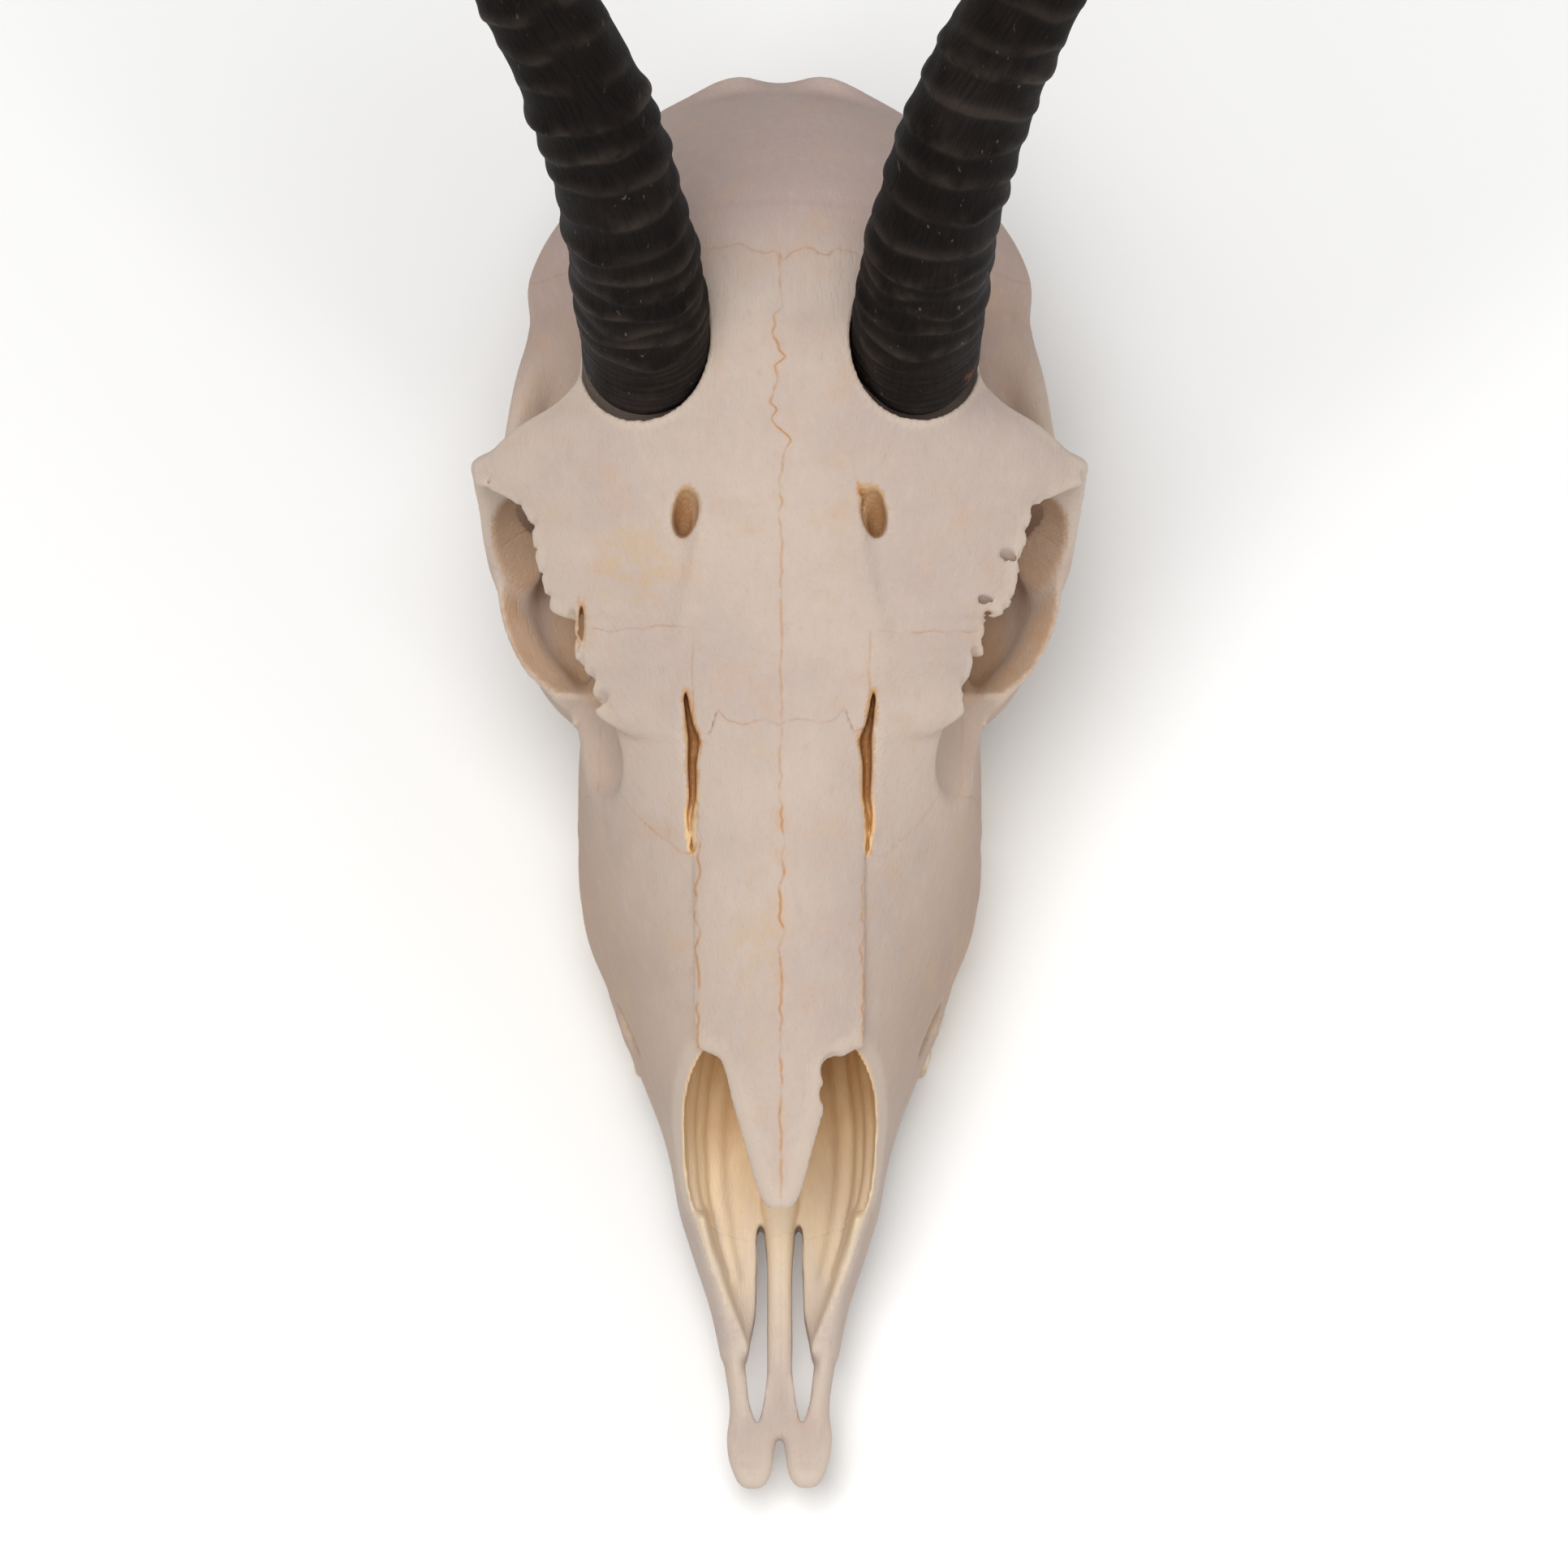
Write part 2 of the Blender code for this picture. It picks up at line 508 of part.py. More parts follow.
def small_holes():
    """The snout's slots, the brow's vessel holes, the gaps beside the nasals and the hollows before the orbits."""
    slot = lofted("slot", [
        (11.0, 3.6, 12.0, 0.4, 9.0, 9.0, 2.4, 2.4, 0),
        (15.0, 3.75, 12.0, 1.4, 9.0, 9.0, 2.4, 2.4, 0),
        (20.5, 3.7, 12.0, 1.9, 9.0, 9.0, 2.4, 2.4, 0),
        (25.0, 3.4, 12.0, 1.6, 9.0, 9.0, 2.4, 2.4, 0),
        (31.0, 2.9, 12.0, 1.1, 9.0, 9.0, 2.4, 2.4, 0),
        (39.0, 2.8, 12.0, 0.9, 9.0, 9.0, 2.4, 2.4, 0),
        (45.0, 3.0, 12.0, 0.6, 9.0, 9.0, 2.4, 2.4, 0),
    ], sides=14, step=2.0)
    vessel = ovoid("brow_hole", from_face(15.6, 169.6, 33.0), (2.3, 3.7, 7.0), (-FACE_TILT, 0.0, 6.0), 12)
    hollow = ovoid("cheek_hollow", (36.0, 115.5, 57.0), (10.0, 13.5, 10.0), (-22.0, 22.0, 0.0))
    fissure = lofted("fissure", [
        (115.0, 14.8, 30.0, 0.5, 6.0, 6.0, 2.6, 2.6, 0),
        (122.0, 14.6, 30.0, 0.9, 6.0, 6.0, 2.6, 2.6, 0),
        (131.0, 14.4, 30.0, 1.5, 6.0, 6.0, 2.6, 2.6, 0),
        (134.5, 15.0, 30.0, 0.9, 6.0, 6.0, 2.6, 2.6, 0),
        (139.0, 15.8, 30.0, 0.4, 6.0, 6.0, 2.6, 2.6, 0),
    ], sides=12, step=2.5, face=True)
    return both(slot, vessel, hollow, fissure)


def whole_skull():
    """Every bone in one solid, hollowed and rounded."""
    masses = [forehead(), braincase(), *cheek_arch(), *ear_region(), *neck_joint(), *skull_base(), *crest(),
              *pedicles()]
    skull = combine(muzzle(), masses, "UNION")
    combine(skull, [*nose_opening(), *base_hollows(), *eye_sockets()], "DIFFERENCE")
    combine(skull, [brow(), nose_roof(), *snout()], "UNION")
    combine(skull, small_holes(), "DIFFERENCE")
    remesh = skull.modifiers.new("round", "REMESH")
    remesh.mode = "VOXEL"
    remesh.voxel_size = VOXEL * MM
    soften = skull.modifiers.new("soften", "SMOOTH")
    soften.factor = 0.5
    soften.iterations = SMOOTH_STEPS
    applied(skull)
    keep_largest(skull)
    thin = skull.modifiers.new("thin_out", "DECIMATE")
    thin.ratio = BONE_TRIANGLES / (2 * len(skull.data.polygons))
    thin.use_collapse_triangulate = True
    return applied(skull)


def face_block(name, low, high, lean=0.0):
    """A block set square to the face, from its lowest to its highest x, s and h, leaning sideways."""
    bm = bmesh.new()
    corners = []
    for h in (low[2], high[2]):
        for x, s in ((low[0], low[1]), (high[0], low[1]), (high[0], high[1]), (low[0], high[1])):
            corners.append(bm.verts.new(Vector(from_face(x, s, h - lean * abs(x))) * MM))
    for face in ((0, 1, 2, 3), (4, 5, 6, 7), (0, 1, 5, 4), (1, 2, 6, 5), (2, 3, 7, 6), (3, 0, 4, 7)):
        bm.faces.new([corners[k] for k in face])
    return mesh_object(name, bm)


def grown(outline, by):
    """A side outline with every edge moved out by a distance."""
    area = sum(a[0] * b[1] - b[0] * a[1] for a, b in zip(outline, outline[1:] + outline[:1]))
    sign = math.copysign(1.0, area)
    points = []
    for before, point, after in zip(outline[-1:] + outline[:-1], outline, outline[1:] + outline[:1]):
        edges = []
        for a, b in ((before, point), (point, after)):
            length = math.dist(a, b)
            edges.append((sign * (b[1] - a[1]) / length, -sign * (b[0] - a[0]) / length))
        (ax, ay), (bx, by_) = edges
        scale = by / (1.0 + ax * bx + ay * by_)
        points.append((point[0] + scale * (ax + bx), point[1] + scale * (ay + by_)))
    return points


def side_block(name, outline, x_low, x_high, grow=0.0):
    """A block with an outline seen from the side, u and z, between two distances from the middle."""
    shape = grown(outline, grow) if grow else outline
    bm = bmesh.new()
    near = [bm.verts.new(Vector((x_low - grow, u, z)) * MM) for u, z in shape]
    far = [bm.verts.new(Vector((x_high + grow, u, z)) * MM) for u, z in shape]
    bm.faces.new(near)
    bm.faces.new(far)
    for k in range(len(shape)):
        following = (k + 1) % len(shape)
        bm.faces.new((near[k], near[following], far[following], far[k]))
    bmesh.ops.triangulate(bm, faces=[face for face in bm.faces if len(face.verts) > 4])
    return mesh_object(name, bm)


# Where each horn leads: distance along it, degrees that it rises out of the plane of the face, degrees
# that it spreads, and its half thickness across and from front to back
HORN_LINE = [
    (0.0, 62.0, 5.0, 11.2, 12.6),
    (20.0, 54.0, 10.0, 10.6, 12.1),
    (40.0, 46.0, 14.0, 10.2, 11.5),
    (60.0, 38.0, 22.5, 9.6, 10.6),
    (80.0, 29.0, 29.5, 8.7, 9.6),
    (110.0, 17.0, 35.0, 7.4, 8.0),
    (140.0, 8.0, 32.0, 6.2, 6.7),
    (170.0, 4.0, 21.0, 5.1, 5.4),
    (200.0, 6.0, 5.0, 3.9, 4.0),
    (225.0, 14.0, -10.0, 2.7, 2.7),
    (242.0, 20.0, -19.0, 1.4, 1.4),
    (HORN_LENGTH, 22.0, -22.0, 0.4, 0.4),
]


def horn_heading(t):
    """The direction of a horn at a distance along it."""
    _, rise, spread, _, _ = smooth_row(HORN_LINE, max(t, 0.0))
    rise, spread = math.radians(rise), math.radians(spread)
    return Vector(from_face(math.sin(spread) * math.cos(rise), math.cos(spread) * math.cos(rise), math.sin(rise)))


def horn_place(t):
    """The middle of a horn at a distance along it."""
    place = Vector(HORN_BASE)
    steps = max(1, math.ceil(abs(t)))
    for k in range(steps):
        place += horn_heading(t * (k + 0.5) / steps) * (t / steps)
    return place


def horn_ring(t, grow=0.0):
    """One ring of points round a horn, made thicker by grow."""
    _, _, _, across, deep = smooth_row(HORN_LINE, max(t, 0.0))
    forward = horn_heading(t)
    side = forward.cross(Vector((0.0, 0.0, 1.0))).normalized()
    front = side.cross(forward)
    angles = [math.tau * k / HORN_SIDES for k in range(HORN_SIDES)]
    middle = horn_place(t)
    return [middle + side * (across + grow) * math.cos(angle) + front * (deep + grow) * math.sin(angle)
            for angle in angles]


def horn_marks():
    """Places along a horn with the relief of its ridges, which fade upward, and its plain tip."""
    pitch = RIDGE_REACH / RIDGE_COUNT
    marks = [(0.0, 0.0)]
    for ridge in range(RIDGE_COUNT):
        height = RIDGE_HEIGHT * (1.0 - 0.5 * ridge / RIDGE_COUNT)
        marks += [(pitch * (ridge + share), height * part) for share, part in ((0.3, -0.1), (0.55, 1.0), (0.85, 0.5))]
    plain_rings = 11
    marks += [(RIDGE_REACH + (HORN_LENGTH - RIDGE_REACH) * k / plain_rings, 0.0) for k in range(plain_rings + 1)]
    return marks


def horn(name):
    """One horn sheath, with its rim sunk in the bone."""
    return skin_rings(name, [horn_ring(-HORN_SINK), *(horn_ring(t, relief) for t, relief in horn_marks())])


def horn_seat():
    """What the root of a horn takes out of the bone, with a gap all round."""
    rings = [horn_ring(-HORN_SINK - GAP, GAP)]
    rings += [horn_ring(t, relief + GAP) for t, relief in horn_marks() if t < SEAT_REACH]
    return skin_rings("seat", rings)


def pedicles():
    """The stump of bone that carries each horn, with a low collar round the foot of its sheath."""
    marks = ((-26.0, -1.0), (-14.0, 0.4), (-6.0, 1.6), (-2.4, 1.4))
    return both(skin_rings("pedicle", [horn_ring(t, grow) for t, grow in marks]))


def tooth(u, x, length, half_width, two_lobed):
    """One cheek tooth: a crown with a flat grinding face on the table and its root up in the jaw."""
    sides = 20
    rings = []
    for z, scale in ((0.0, 0.94), (4.0, 1.0), (PALATE_Z + 4.0, 0.9)):
        ring = []
        for k in range(sides):
            angle = math.tau * (k + 0.5) / sides
            c, s = math.cos(angle), math.sin(angle)
            along = 0.5 * length * math.copysign(abs(c) ** 0.6, c)
            pinch = 0.2 * math.exp(-(along / (0.14 * length)) ** 2) if two_lobed else 0.0
            across = half_width * math.copysign(abs(s) ** 0.7, s) * (1.0 - pinch)
            ring.append((x + across * scale, u + along * scale, z))
        rings.append(ring)
    return skin_rings("tooth", rings)


def tooth_row():
    """The three premolars and three molars of one side."""
    line = [(77.0, 21.6), (95.0, 25.4), (110.0, 27.4), (125.0, 27.8), (138.0, 26.6)]
    teeth = []
    u = TOOTH_ROW_FRONT
    for number, length in enumerate(TOOTH_LENGTHS):
        middle = u + 0.5 * length
        x = smooth_row(line, middle)[1]
        teeth.append(tooth(middle, x, length - TOOTH_GAP, TOOTH_HALF_WIDTHS[number], number > 2))
        u += length
    return teeth


def flipped(piece):
    """Move a piece to the other side of the skull."""
    bm = bmesh.new()
    bm.from_mesh(piece.data)
    bmesh.ops.scale(bm, vec=(-1.0, 1.0, 1.0), verts=bm.verts)
    bmesh.ops.recalc_face_normals(bm, faces=bm.faces)
    bm.to_mesh(piece.data)
    bm.free()
    return piece


def split_off(rest, name, block, wider):
    """Take the part of the skull inside a block as its own bone, and leave a gap round it."""
    bone = rest.copy()
    bone.data = rest.data.copy()
    bone.name = name
    bpy.context.scene.collection.objects.link(bone)
    combine(bone, [block], "INTERSECT")
    combine(rest, [wider], "DIFFERENCE")
    return keep_largest(bone)


def split_pair(rest, name, make_block):
    """Split off a bone on the left and its fellow on the right."""
    left = split_off(rest, name + "_left", make_block(0.0), make_block(GAP))
    right = split_off(rest, name + "_right", flipped(make_block(0.0)), flipped(make_block(GAP)))
    return [left, right]


def nasal_block(grow):
    low = (0.5 * GAP - grow, 40.0, 26.4 - grow)
    return face_block("block", low, (NASAL_HALF_WIDTH + grow, 134.0 + grow, 70.0))


def premaxilla_block(grow):
    outline = [(-10.0, -5.0), (37.0, -5.0), (41.0, 10.0), (53.0, 44.0), (56.0, 60.0), (-10.0, 60.0)]
    return side_block("block", outline, 0.5 * GAP, 40.0, grow)


def zygomatic_block(grow):
    outline = [(111.0, 51.0), (113.0, 38.0), (124.0, 28.0), (161.0, 30.0), (164.0, 58.0), (122.0, 58.0)]
    return side_block("block", outline, 31.0, 70.0, grow)


def lacrimal_block(grow):
    outline = [(98.0, 95.0), (98.0, 62.0), (113.0, 55.0), (139.0, 55.0), (137.5, 60.0), (124.8, 95.0)]
    return side_block("block", outline, 15.0, 70.0, grow)


def maxilla_block(grow):
    outline = [(20.0, -20.0), (170.0, -20.0), (170.0, 100.0), (20.0, 100.0)]
    return side_block("block", outline, 0.5 * GAP, 80.0, grow)


def frontal_block(grow):
    outline = [*CORONAL_CUT, (97.2, 126.0), (117.6, 70.0), (139.5, 44.0)]
    return side_block("block", outline, 0.5 * GAP, 80.0, grow)


def temporal_block(grow):
    outline = [(158.0, 34.0), (158.0, 56.0), (182.0, 60.0), (206.0, 60.0), (206.0, 34.0)]
    return side_block("block", outline, 22.0, 70.0, grow)


def braincase_block(grow):
    outline = [(145.0, -20.0), *CORONAL_CUT, (260.0, 126.0), (260.0, -20.0)]
    return side_block("block", outline, -80.0, 80.0, grow)


def part_bones(skull):
    """Part the whole skull along its main sutures."""
    bones = []
    bones += split_pair(skull, "nasal", nasal_block)
    bones += split_pair(skull, "premaxilla", premaxilla_block)
    bones += split_pair(skull, "zygomatic", zygomatic_block)
    bones += split_pair(skull, "lacrimal", lacrimal_block)
    bones += split_pair(skull, "frontal", frontal_block)
    bones += split_pair(skull, "temporal", temporal_block)
    bones.append(split_off(skull, "braincase", braincase_block(0.0), braincase_block(GAP)))
    bones += split_pair(skull, "maxilla", maxilla_block)
    bpy.data.objects.remove(skull)
    return bones


def add_teeth(maxilla):
    """Root the row of cheek teeth in one upper jaw."""
    teeth = tooth_row()
    if maxilla.name.endswith("right"):
        teeth = [flipped(one) for one in teeth]
    combine(maxilla, teeth, "UNION")
    return keep_largest(maxilla)


def stand_flat(braincase):
    """Cut the tips of the two processes flat where they rest on the table."""
    outline = [(190.0, -20.0), (240.0, -20.0), (240.0, 0.0), (190.0, 0.0)]
    return combine(braincase, [side_block("table", outline, -50.0, 50.0)], "DIFFERENCE")


def material(name, colour, roughness):
    """A plain finish for one kind of piece."""
    finish = bpy.data.materials.new(name)
    finish.use_nodes = True
    shader = finish.node_tree.nodes["Principled BSDF"]
    shader.inputs["Base Color"].default_value = (*colour, 1.0)
    shader.inputs["Roughness"].default_value = roughness
    shader.inputs["Metallic"].default_value = 0.0
    return finish


def centre_on_floor(pieces):
    """Put the middle of the whole model's footprint at the origin, standing on z = 0."""
    points = [vertex.co for piece in pieces for vertex in piece.data.vertices]
    middle = [0.5 * (min(p[axis] for p in points) + max(p[axis] for p in points)) for axis in (0, 1)]
    shift = Matrix.Translation((-middle[0], -middle[1], -min(p.z for p in points)))
    for piece in pieces:
        piece.data.transform(shift)


def main():
    for leftover in list(bpy.data.objects):
        bpy.data.objects.remove(leftover)
    skull = whole_skull()
    combine(skull, [horn_seat(), flipped(horn_seat())], "DIFFERENCE")
    keep_largest(skull)
    bones = part_bones(skull)
    for bone in bones:
        if bone.name.startswith("maxilla"):
            add_teeth(bone)
        if bone.name == "braincase":
            stand_flat(bone)
    horns = [horn("horn_left"), flipped(horn("horn_right"))]
    for piece in bones + horns:
        kind = piece.name.split("_")[0]
        is_horn = kind == "horn"
        piece.data.materials.clear()
        piece.data.materials.append(material(piece.name, HORN_COLOUR if is_horn else BONE_COLOUR,
                                             HORN_ROUGHNESS if is_horn else BONE_ROUGHNESS))
        piece.data.name = piece.name
    centre_on_floor(bones + horns)


main()
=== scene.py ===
"""Looks of a springbok skull that lies on its cheek teeth: dry pale bone and dark ringed horns.

Sizes are in millimetres until they reach Blender: x to the animal's left, u rearward from the tip of
the nose, z up from the table. On the face, s runs rearward along the slope of the nose and forehead,
and h stands out of it. The bone is built as clay would be: forms are added and carved in a block of
space, and each bone is then parted along its sutures.
"""

import math

import bpy
import numpy as np
import openvdb
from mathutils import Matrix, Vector


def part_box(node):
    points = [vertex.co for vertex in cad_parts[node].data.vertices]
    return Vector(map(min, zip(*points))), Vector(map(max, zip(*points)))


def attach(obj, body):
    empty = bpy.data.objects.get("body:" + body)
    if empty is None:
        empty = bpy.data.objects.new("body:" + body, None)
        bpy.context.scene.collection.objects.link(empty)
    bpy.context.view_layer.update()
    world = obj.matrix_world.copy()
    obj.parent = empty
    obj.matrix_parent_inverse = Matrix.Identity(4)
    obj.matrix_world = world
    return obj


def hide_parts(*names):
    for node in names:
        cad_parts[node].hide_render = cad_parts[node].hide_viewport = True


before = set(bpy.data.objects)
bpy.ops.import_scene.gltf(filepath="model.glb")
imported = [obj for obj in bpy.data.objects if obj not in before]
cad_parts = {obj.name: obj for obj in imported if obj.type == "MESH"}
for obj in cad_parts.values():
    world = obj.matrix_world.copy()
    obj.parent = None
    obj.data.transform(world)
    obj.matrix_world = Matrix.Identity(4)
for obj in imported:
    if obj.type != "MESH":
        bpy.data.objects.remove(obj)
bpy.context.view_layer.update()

MM = 0.001
GRAIN = 0.48      # between points of the sculpted bone
SEAM = -0.7                              # open width of a suture: below zero, its edges dovetail
TINT_REACH = 0.6                         # over which the colour of a hollow's wall fades at its rim
END_ROUND = 1.4                          # rounding of the flat end of a limb
FACE_TILT = math.radians(20.0)
COS, SIN = math.cos(FACE_TILT), math.sin(FACE_TILT)
NOSE_Y = min(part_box("premaxilla_left")[0].y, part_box("premaxilla_right")[0].y) - 0.0003

ORBIT = (41.0, 141.5, 67.0)
PALATE_Z = 13.0
TABLE_Z = 0.0                            # where the table is, in the sizes of the skull
TOOTH_FRONT = 77.0
TOOTH_LENGTHS = (7.0, 8.0, 8.5, 11.5, 12.5, 13.0)
TOOTH_HALF_WIDTHS = (3.6, 4.2, 4.8, 5.8, 6.2, 5.8)
TOOTH_LINE = [(77.0, 21.6), (95.0, 25.4), (110.0, 27.4), (125.0, 27.8), (138.0, 26.6)]

HORN_BASE = (22.8, 175.8, 97.5)
HORN_LENGTH = 250.0
HORN_SINK = 4.0
HORN_GAP = 0.3
# Distance along the horn, degrees that it rises out of the plane of the face, degrees that it spreads,
# and its half thickness across and from front to back
HORN_LINE = [
    (0.0, 62.0, 5.0, 11.2, 12.6),
    (20.0, 54.0, 10.0, 10.6, 12.1),
    (40.0, 46.0, 14.0, 10.2, 11.5),
    (60.0, 38.0, 22.5, 9.6, 10.6),
    (80.0, 29.0, 29.5, 8.7, 9.6),
    (110.0, 17.0, 35.0, 7.4, 8.0),
    (140.0, 8.0, 32.0, 6.2, 6.7),
    (170.0, 4.0, 21.0, 5.1, 5.4),
    (200.0, 6.0, 5.0, 3.9, 4.0),
    (225.0, 14.0, -10.0, 2.7, 2.7),
    (242.0, 20.0, -19.0, 1.4, 1.4),
    (HORN_LENGTH, 22.0, -22.0, 0.4, 0.4),
]


def off_face(x, s, h):
    """A place on the face as x, u and z."""
    return x, s * COS - h * SIN, s * SIN + h * COS


def curve_through(rows, at):
    """Every column of a table of stations, read at an array of places on a curve that never overshoots."""
    table = np.array(rows, dtype=np.float32)
    knots = table[:, 0]
    spans = np.diff(knots)[:, None]
    rises = np.diff(table, axis=0) / spans
    slopes = np.zeros_like(table)
    slopes[0], slopes[-1] = rises[0], rises[-1]
    before, after = rises[:-1], rises[1:]
    turning = before * after <= 0.0
    total = np.where(turning, 1.0, before + after)
    slopes[1:-1] = np.where(turning, 0.0, 2.0 * before * after / total)
    at = np.asarray(at, dtype=np.float32)
    cell = np.clip(np.searchsorted(knots, at, side="right") - 1, 0, len(knots) - 2)
    width = spans[cell, 0]
    f = np.clip((at - knots[cell]) / width, 0.0, 1.0)
    columns = []
    for c in range(1, table.shape[1]):
        columns.append((2 * f ** 3 - 3 * f ** 2 + 1) * table[cell, c]
                       + (f ** 3 - 2 * f ** 2 + f) * slopes[cell, c] * width
                       + (3 * f ** 2 - 2 * f ** 3) * table[cell + 1, c]
                       + (f ** 3 - f ** 2) * slopes[cell + 1, c] * width)
    return columns


def spread_of(f):
    """How much each of four neighbouring random values counts at a place between them."""
    return ((1.0 - f) ** 3 / 6.0, (3.0 * f ** 3 - 6.0 * f ** 2 + 4.0) / 6.0,
            (-3.0 * f ** 3 + 3.0 * f ** 2 + 3.0 * f + 1.0) / 6.0, f ** 3 / 6.0)


def wander(at, size, seed):
    """A smooth random line, between about -1 and 1, whose bends are about size apart."""
    values = np.random.default_rng(seed).uniform(-1.6, 1.6, 4096).astype(np.float32)
    place = np.asarray(at, dtype=np.float32) / size + 1000.0
    cell = place.astype(np.int64)
    return sum(values[(cell + k) % 4096] * weight for k, weight in enumerate(spread_of(place - cell)))


def joined(one, other, fillet):
    """The depths outside two forms together, with a fillet, or what both share where it is below zero."""
    mix = np.clip(0.5 + 0.5 * (one - other) / fillet, 0.0, 1.0)
    return one + (other - one) * mix - fillet * mix * (1.0 - mix)


class Clay:
    """A block of space in which bone is built up and carved: the value at a point is its depth outside."""

    def __init__(self, low, depth, shade):
        self.low = np.array(low, dtype=np.float64)
        self.depth = depth
        self.shade = shade

    def window(self, low, high):
        """The part of the block between two corners, with the x, u and z of its points."""
        first = np.maximum(np.floor((np.array(low) - self.low) / GRAIN).astype(int), 0)
        last = np.minimum(np.ceil((np.array(high) - self.low) / GRAIN).astype(int) + 1, self.depth.shape)
        if np.any(last <= first):
            return None, None
        cut = tuple(slice(a, b) for a, b in zip(first, last))
        axes = [(self.low[k] + GRAIN * np.arange(first[k], last[k])).astype(np.float32) for k in range(3)]
        return cut, np.meshgrid(*axes, indexing="ij", sparse=True)

    def blend(self, cut, shape, fillet, carve=False, tint=0.0):
        """Add a shape, or carve it out, with a fillet where it meets the rest, and mark its walls."""
        sign = -1.0 if carve else 1.0
        old = sign * self.depth[cut]
        self.depth[cut] = sign * joined(old, shape, fillet)
        if tint:
            near = np.clip(1.2 - shape / TINT_REACH, 0.0, 1.0)
            self.shade[cut] = np.maximum(self.shade[cut], tint * near)

    def loft(self, rows, fillet, face=False, carve=False, cap=1.2, tint=0.0):
        """A form lofted along the skull or along the face.

        Each row is: place along, height of the middle, half width, height above and below the middle,
        roundness above and below, and, where they aren't 0, x of the middle and droop of the outer edges.
        """
        table = np.array([(*row, 0, 0)[:9] for row in rows], dtype=np.float32)
        reach = fillet + 3.0 * GRAIN
        start, middle, half, over, under, _, _, x_middle, hang = table.T
        x_low, x_high = (x_middle - half).min() - reach, (x_middle + half).max() + reach
        ends = (start[0] - reach, start[-1] + reach)
        levels = ((middle - under - hang).min() - reach, (middle + over).max() + reach)
        corners = [off_face(0.0, a, v)[1:] if face else (a, v) for a in ends for v in levels]
        low = (x_low, min(c[0] for c in corners), min(c[1] for c in corners))
        high = (x_high, max(c[0] for c in corners), max(c[1] for c in corners))
        cut, place = self.window(low, high)
        if cut is None:
            return
        x, u, z = place
        along = u * COS + z * SIN if face else u
        level = z * COS - u * SIN if face else z
        z_mid, wide, above, below, round_above, round_below, x_mid, droop = curve_through(table, along)
        across = (x - x_mid) / wide
        rise = level - z_mid + droop * across ** 2
        up = rise > 0.0
        height = np.where(up, above, below)
        power = np.where(up, round_above, round_below)
        a = np.abs(across) + 1e-4
        b = np.abs(rise) / height + 1e-4
        radius = (a ** power + b ** power) ** (1.0 / power)
        steep = np.sqrt(((a / radius) ** (power - 1.0) / wide) ** 2
                        + ((b / radius) ** (power - 1.0) / height) ** 2)
        shape = (radius - 1.0) / np.maximum(steep, 1e-3)
        beyond = np.maximum(start[0] - along, along - start[-1])
        self.blend(cut, joined(beyond, shape, -cap), fillet, carve, tint)

    def sweep(self, rows, fillet, rise=(0.0, 0.0, 1.0), carve=False, step=1.5, end=None):
        """A limb along a curve, from rows of x, u, z and its half thickness across and along rise.

        An end is a place on a plane and the way out of it, and cuts the limb off there.
        """
        points = np.array(rows, dtype=np.float64)
        lengths = np.concatenate([[0.0], np.cumsum(np.linalg.norm(np.diff(points[:, :3], axis=0), axis=1))])
        track = [(length, *row) for length, row in zip(lengths, rows)]
        at = np.linspace(0.0, lengths[-1], max(3, int(lengths[-1] / step) + 1))
        x, u, z, across, tall = (np.asarray(column, dtype=np.float64) for column in curve_through(track, at))
        line = np.stack([x, u, z], axis=1)
        reach = fillet + 3.0 * GRAIN + max(across.max(), tall.max())
        cut, _ = self.window(line.min(axis=0) - reach, line.max(axis=0) + reach)
        if cut is None:
            return
        shape = np.full(self.depth[cut].shape, 50.0, dtype=np.float32)
        origin = [part.start for part in cut]
        for k in range(len(line) - 1):
            a, b = line[k], line[k + 1]
            wide = max(across[k], across[k + 1], tall[k], tall[k + 1]) + fillet + 3.0 * GRAIN
            box, place = self.window(np.minimum(a, b) - wide, np.maximum(a, b) + wide)
            if box is None:
                continue
            inner = tuple(slice(part.start - o, part.stop - o) for part, o in zip(box, origin))
            length = np.linalg.norm(b - a)
            forward = (b - a) / length
            side = np.cross(forward, rise)
            side /= np.linalg.norm(side)
            up = np.cross(side, forward)
            dx, du, dz = (axis - start for axis, start in zip(place, a.astype(np.float32)))
            t = dx * forward[0] + du * forward[1] + dz * forward[2]
            f = np.clip(t / length, 0.0, 1.0)
            ra = across[k] + (across[k + 1] - across[k]) * f
            rb = tall[k] + (tall[k + 1] - tall[k]) * f
            least = np.minimum(ra, rb)
            p = (dx * side[0] + du * side[1] + dz * side[2]) / ra
            q = (dx * up[0] + du * up[1] + dz * up[2]) / rb
            e = (t - f * length) / least
            radius = np.sqrt(p ** 2 + q ** 2 + e ** 2) + 1e-4
            steep = np.sqrt((p / ra) ** 2 + (q / rb) ** 2 + (e / least) ** 2) / radius
            piece = (radius - 1.0) / np.maximum(steep, 1e-3)
            shape[inner] = np.minimum(shape[inner], piece)
        if end is not None:
            _, (x, u, z) = self.window(line.min(axis=0) - reach, line.max(axis=0) + reach)
            foot, way = end
            plane = (x - foot[0]) * way[0] + (u - foot[1]) * way[1] + (z - foot[2]) * way[2]
            shape = joined(plane, shape, -END_ROUND)
        self.blend(cut, shape, fillet, carve)

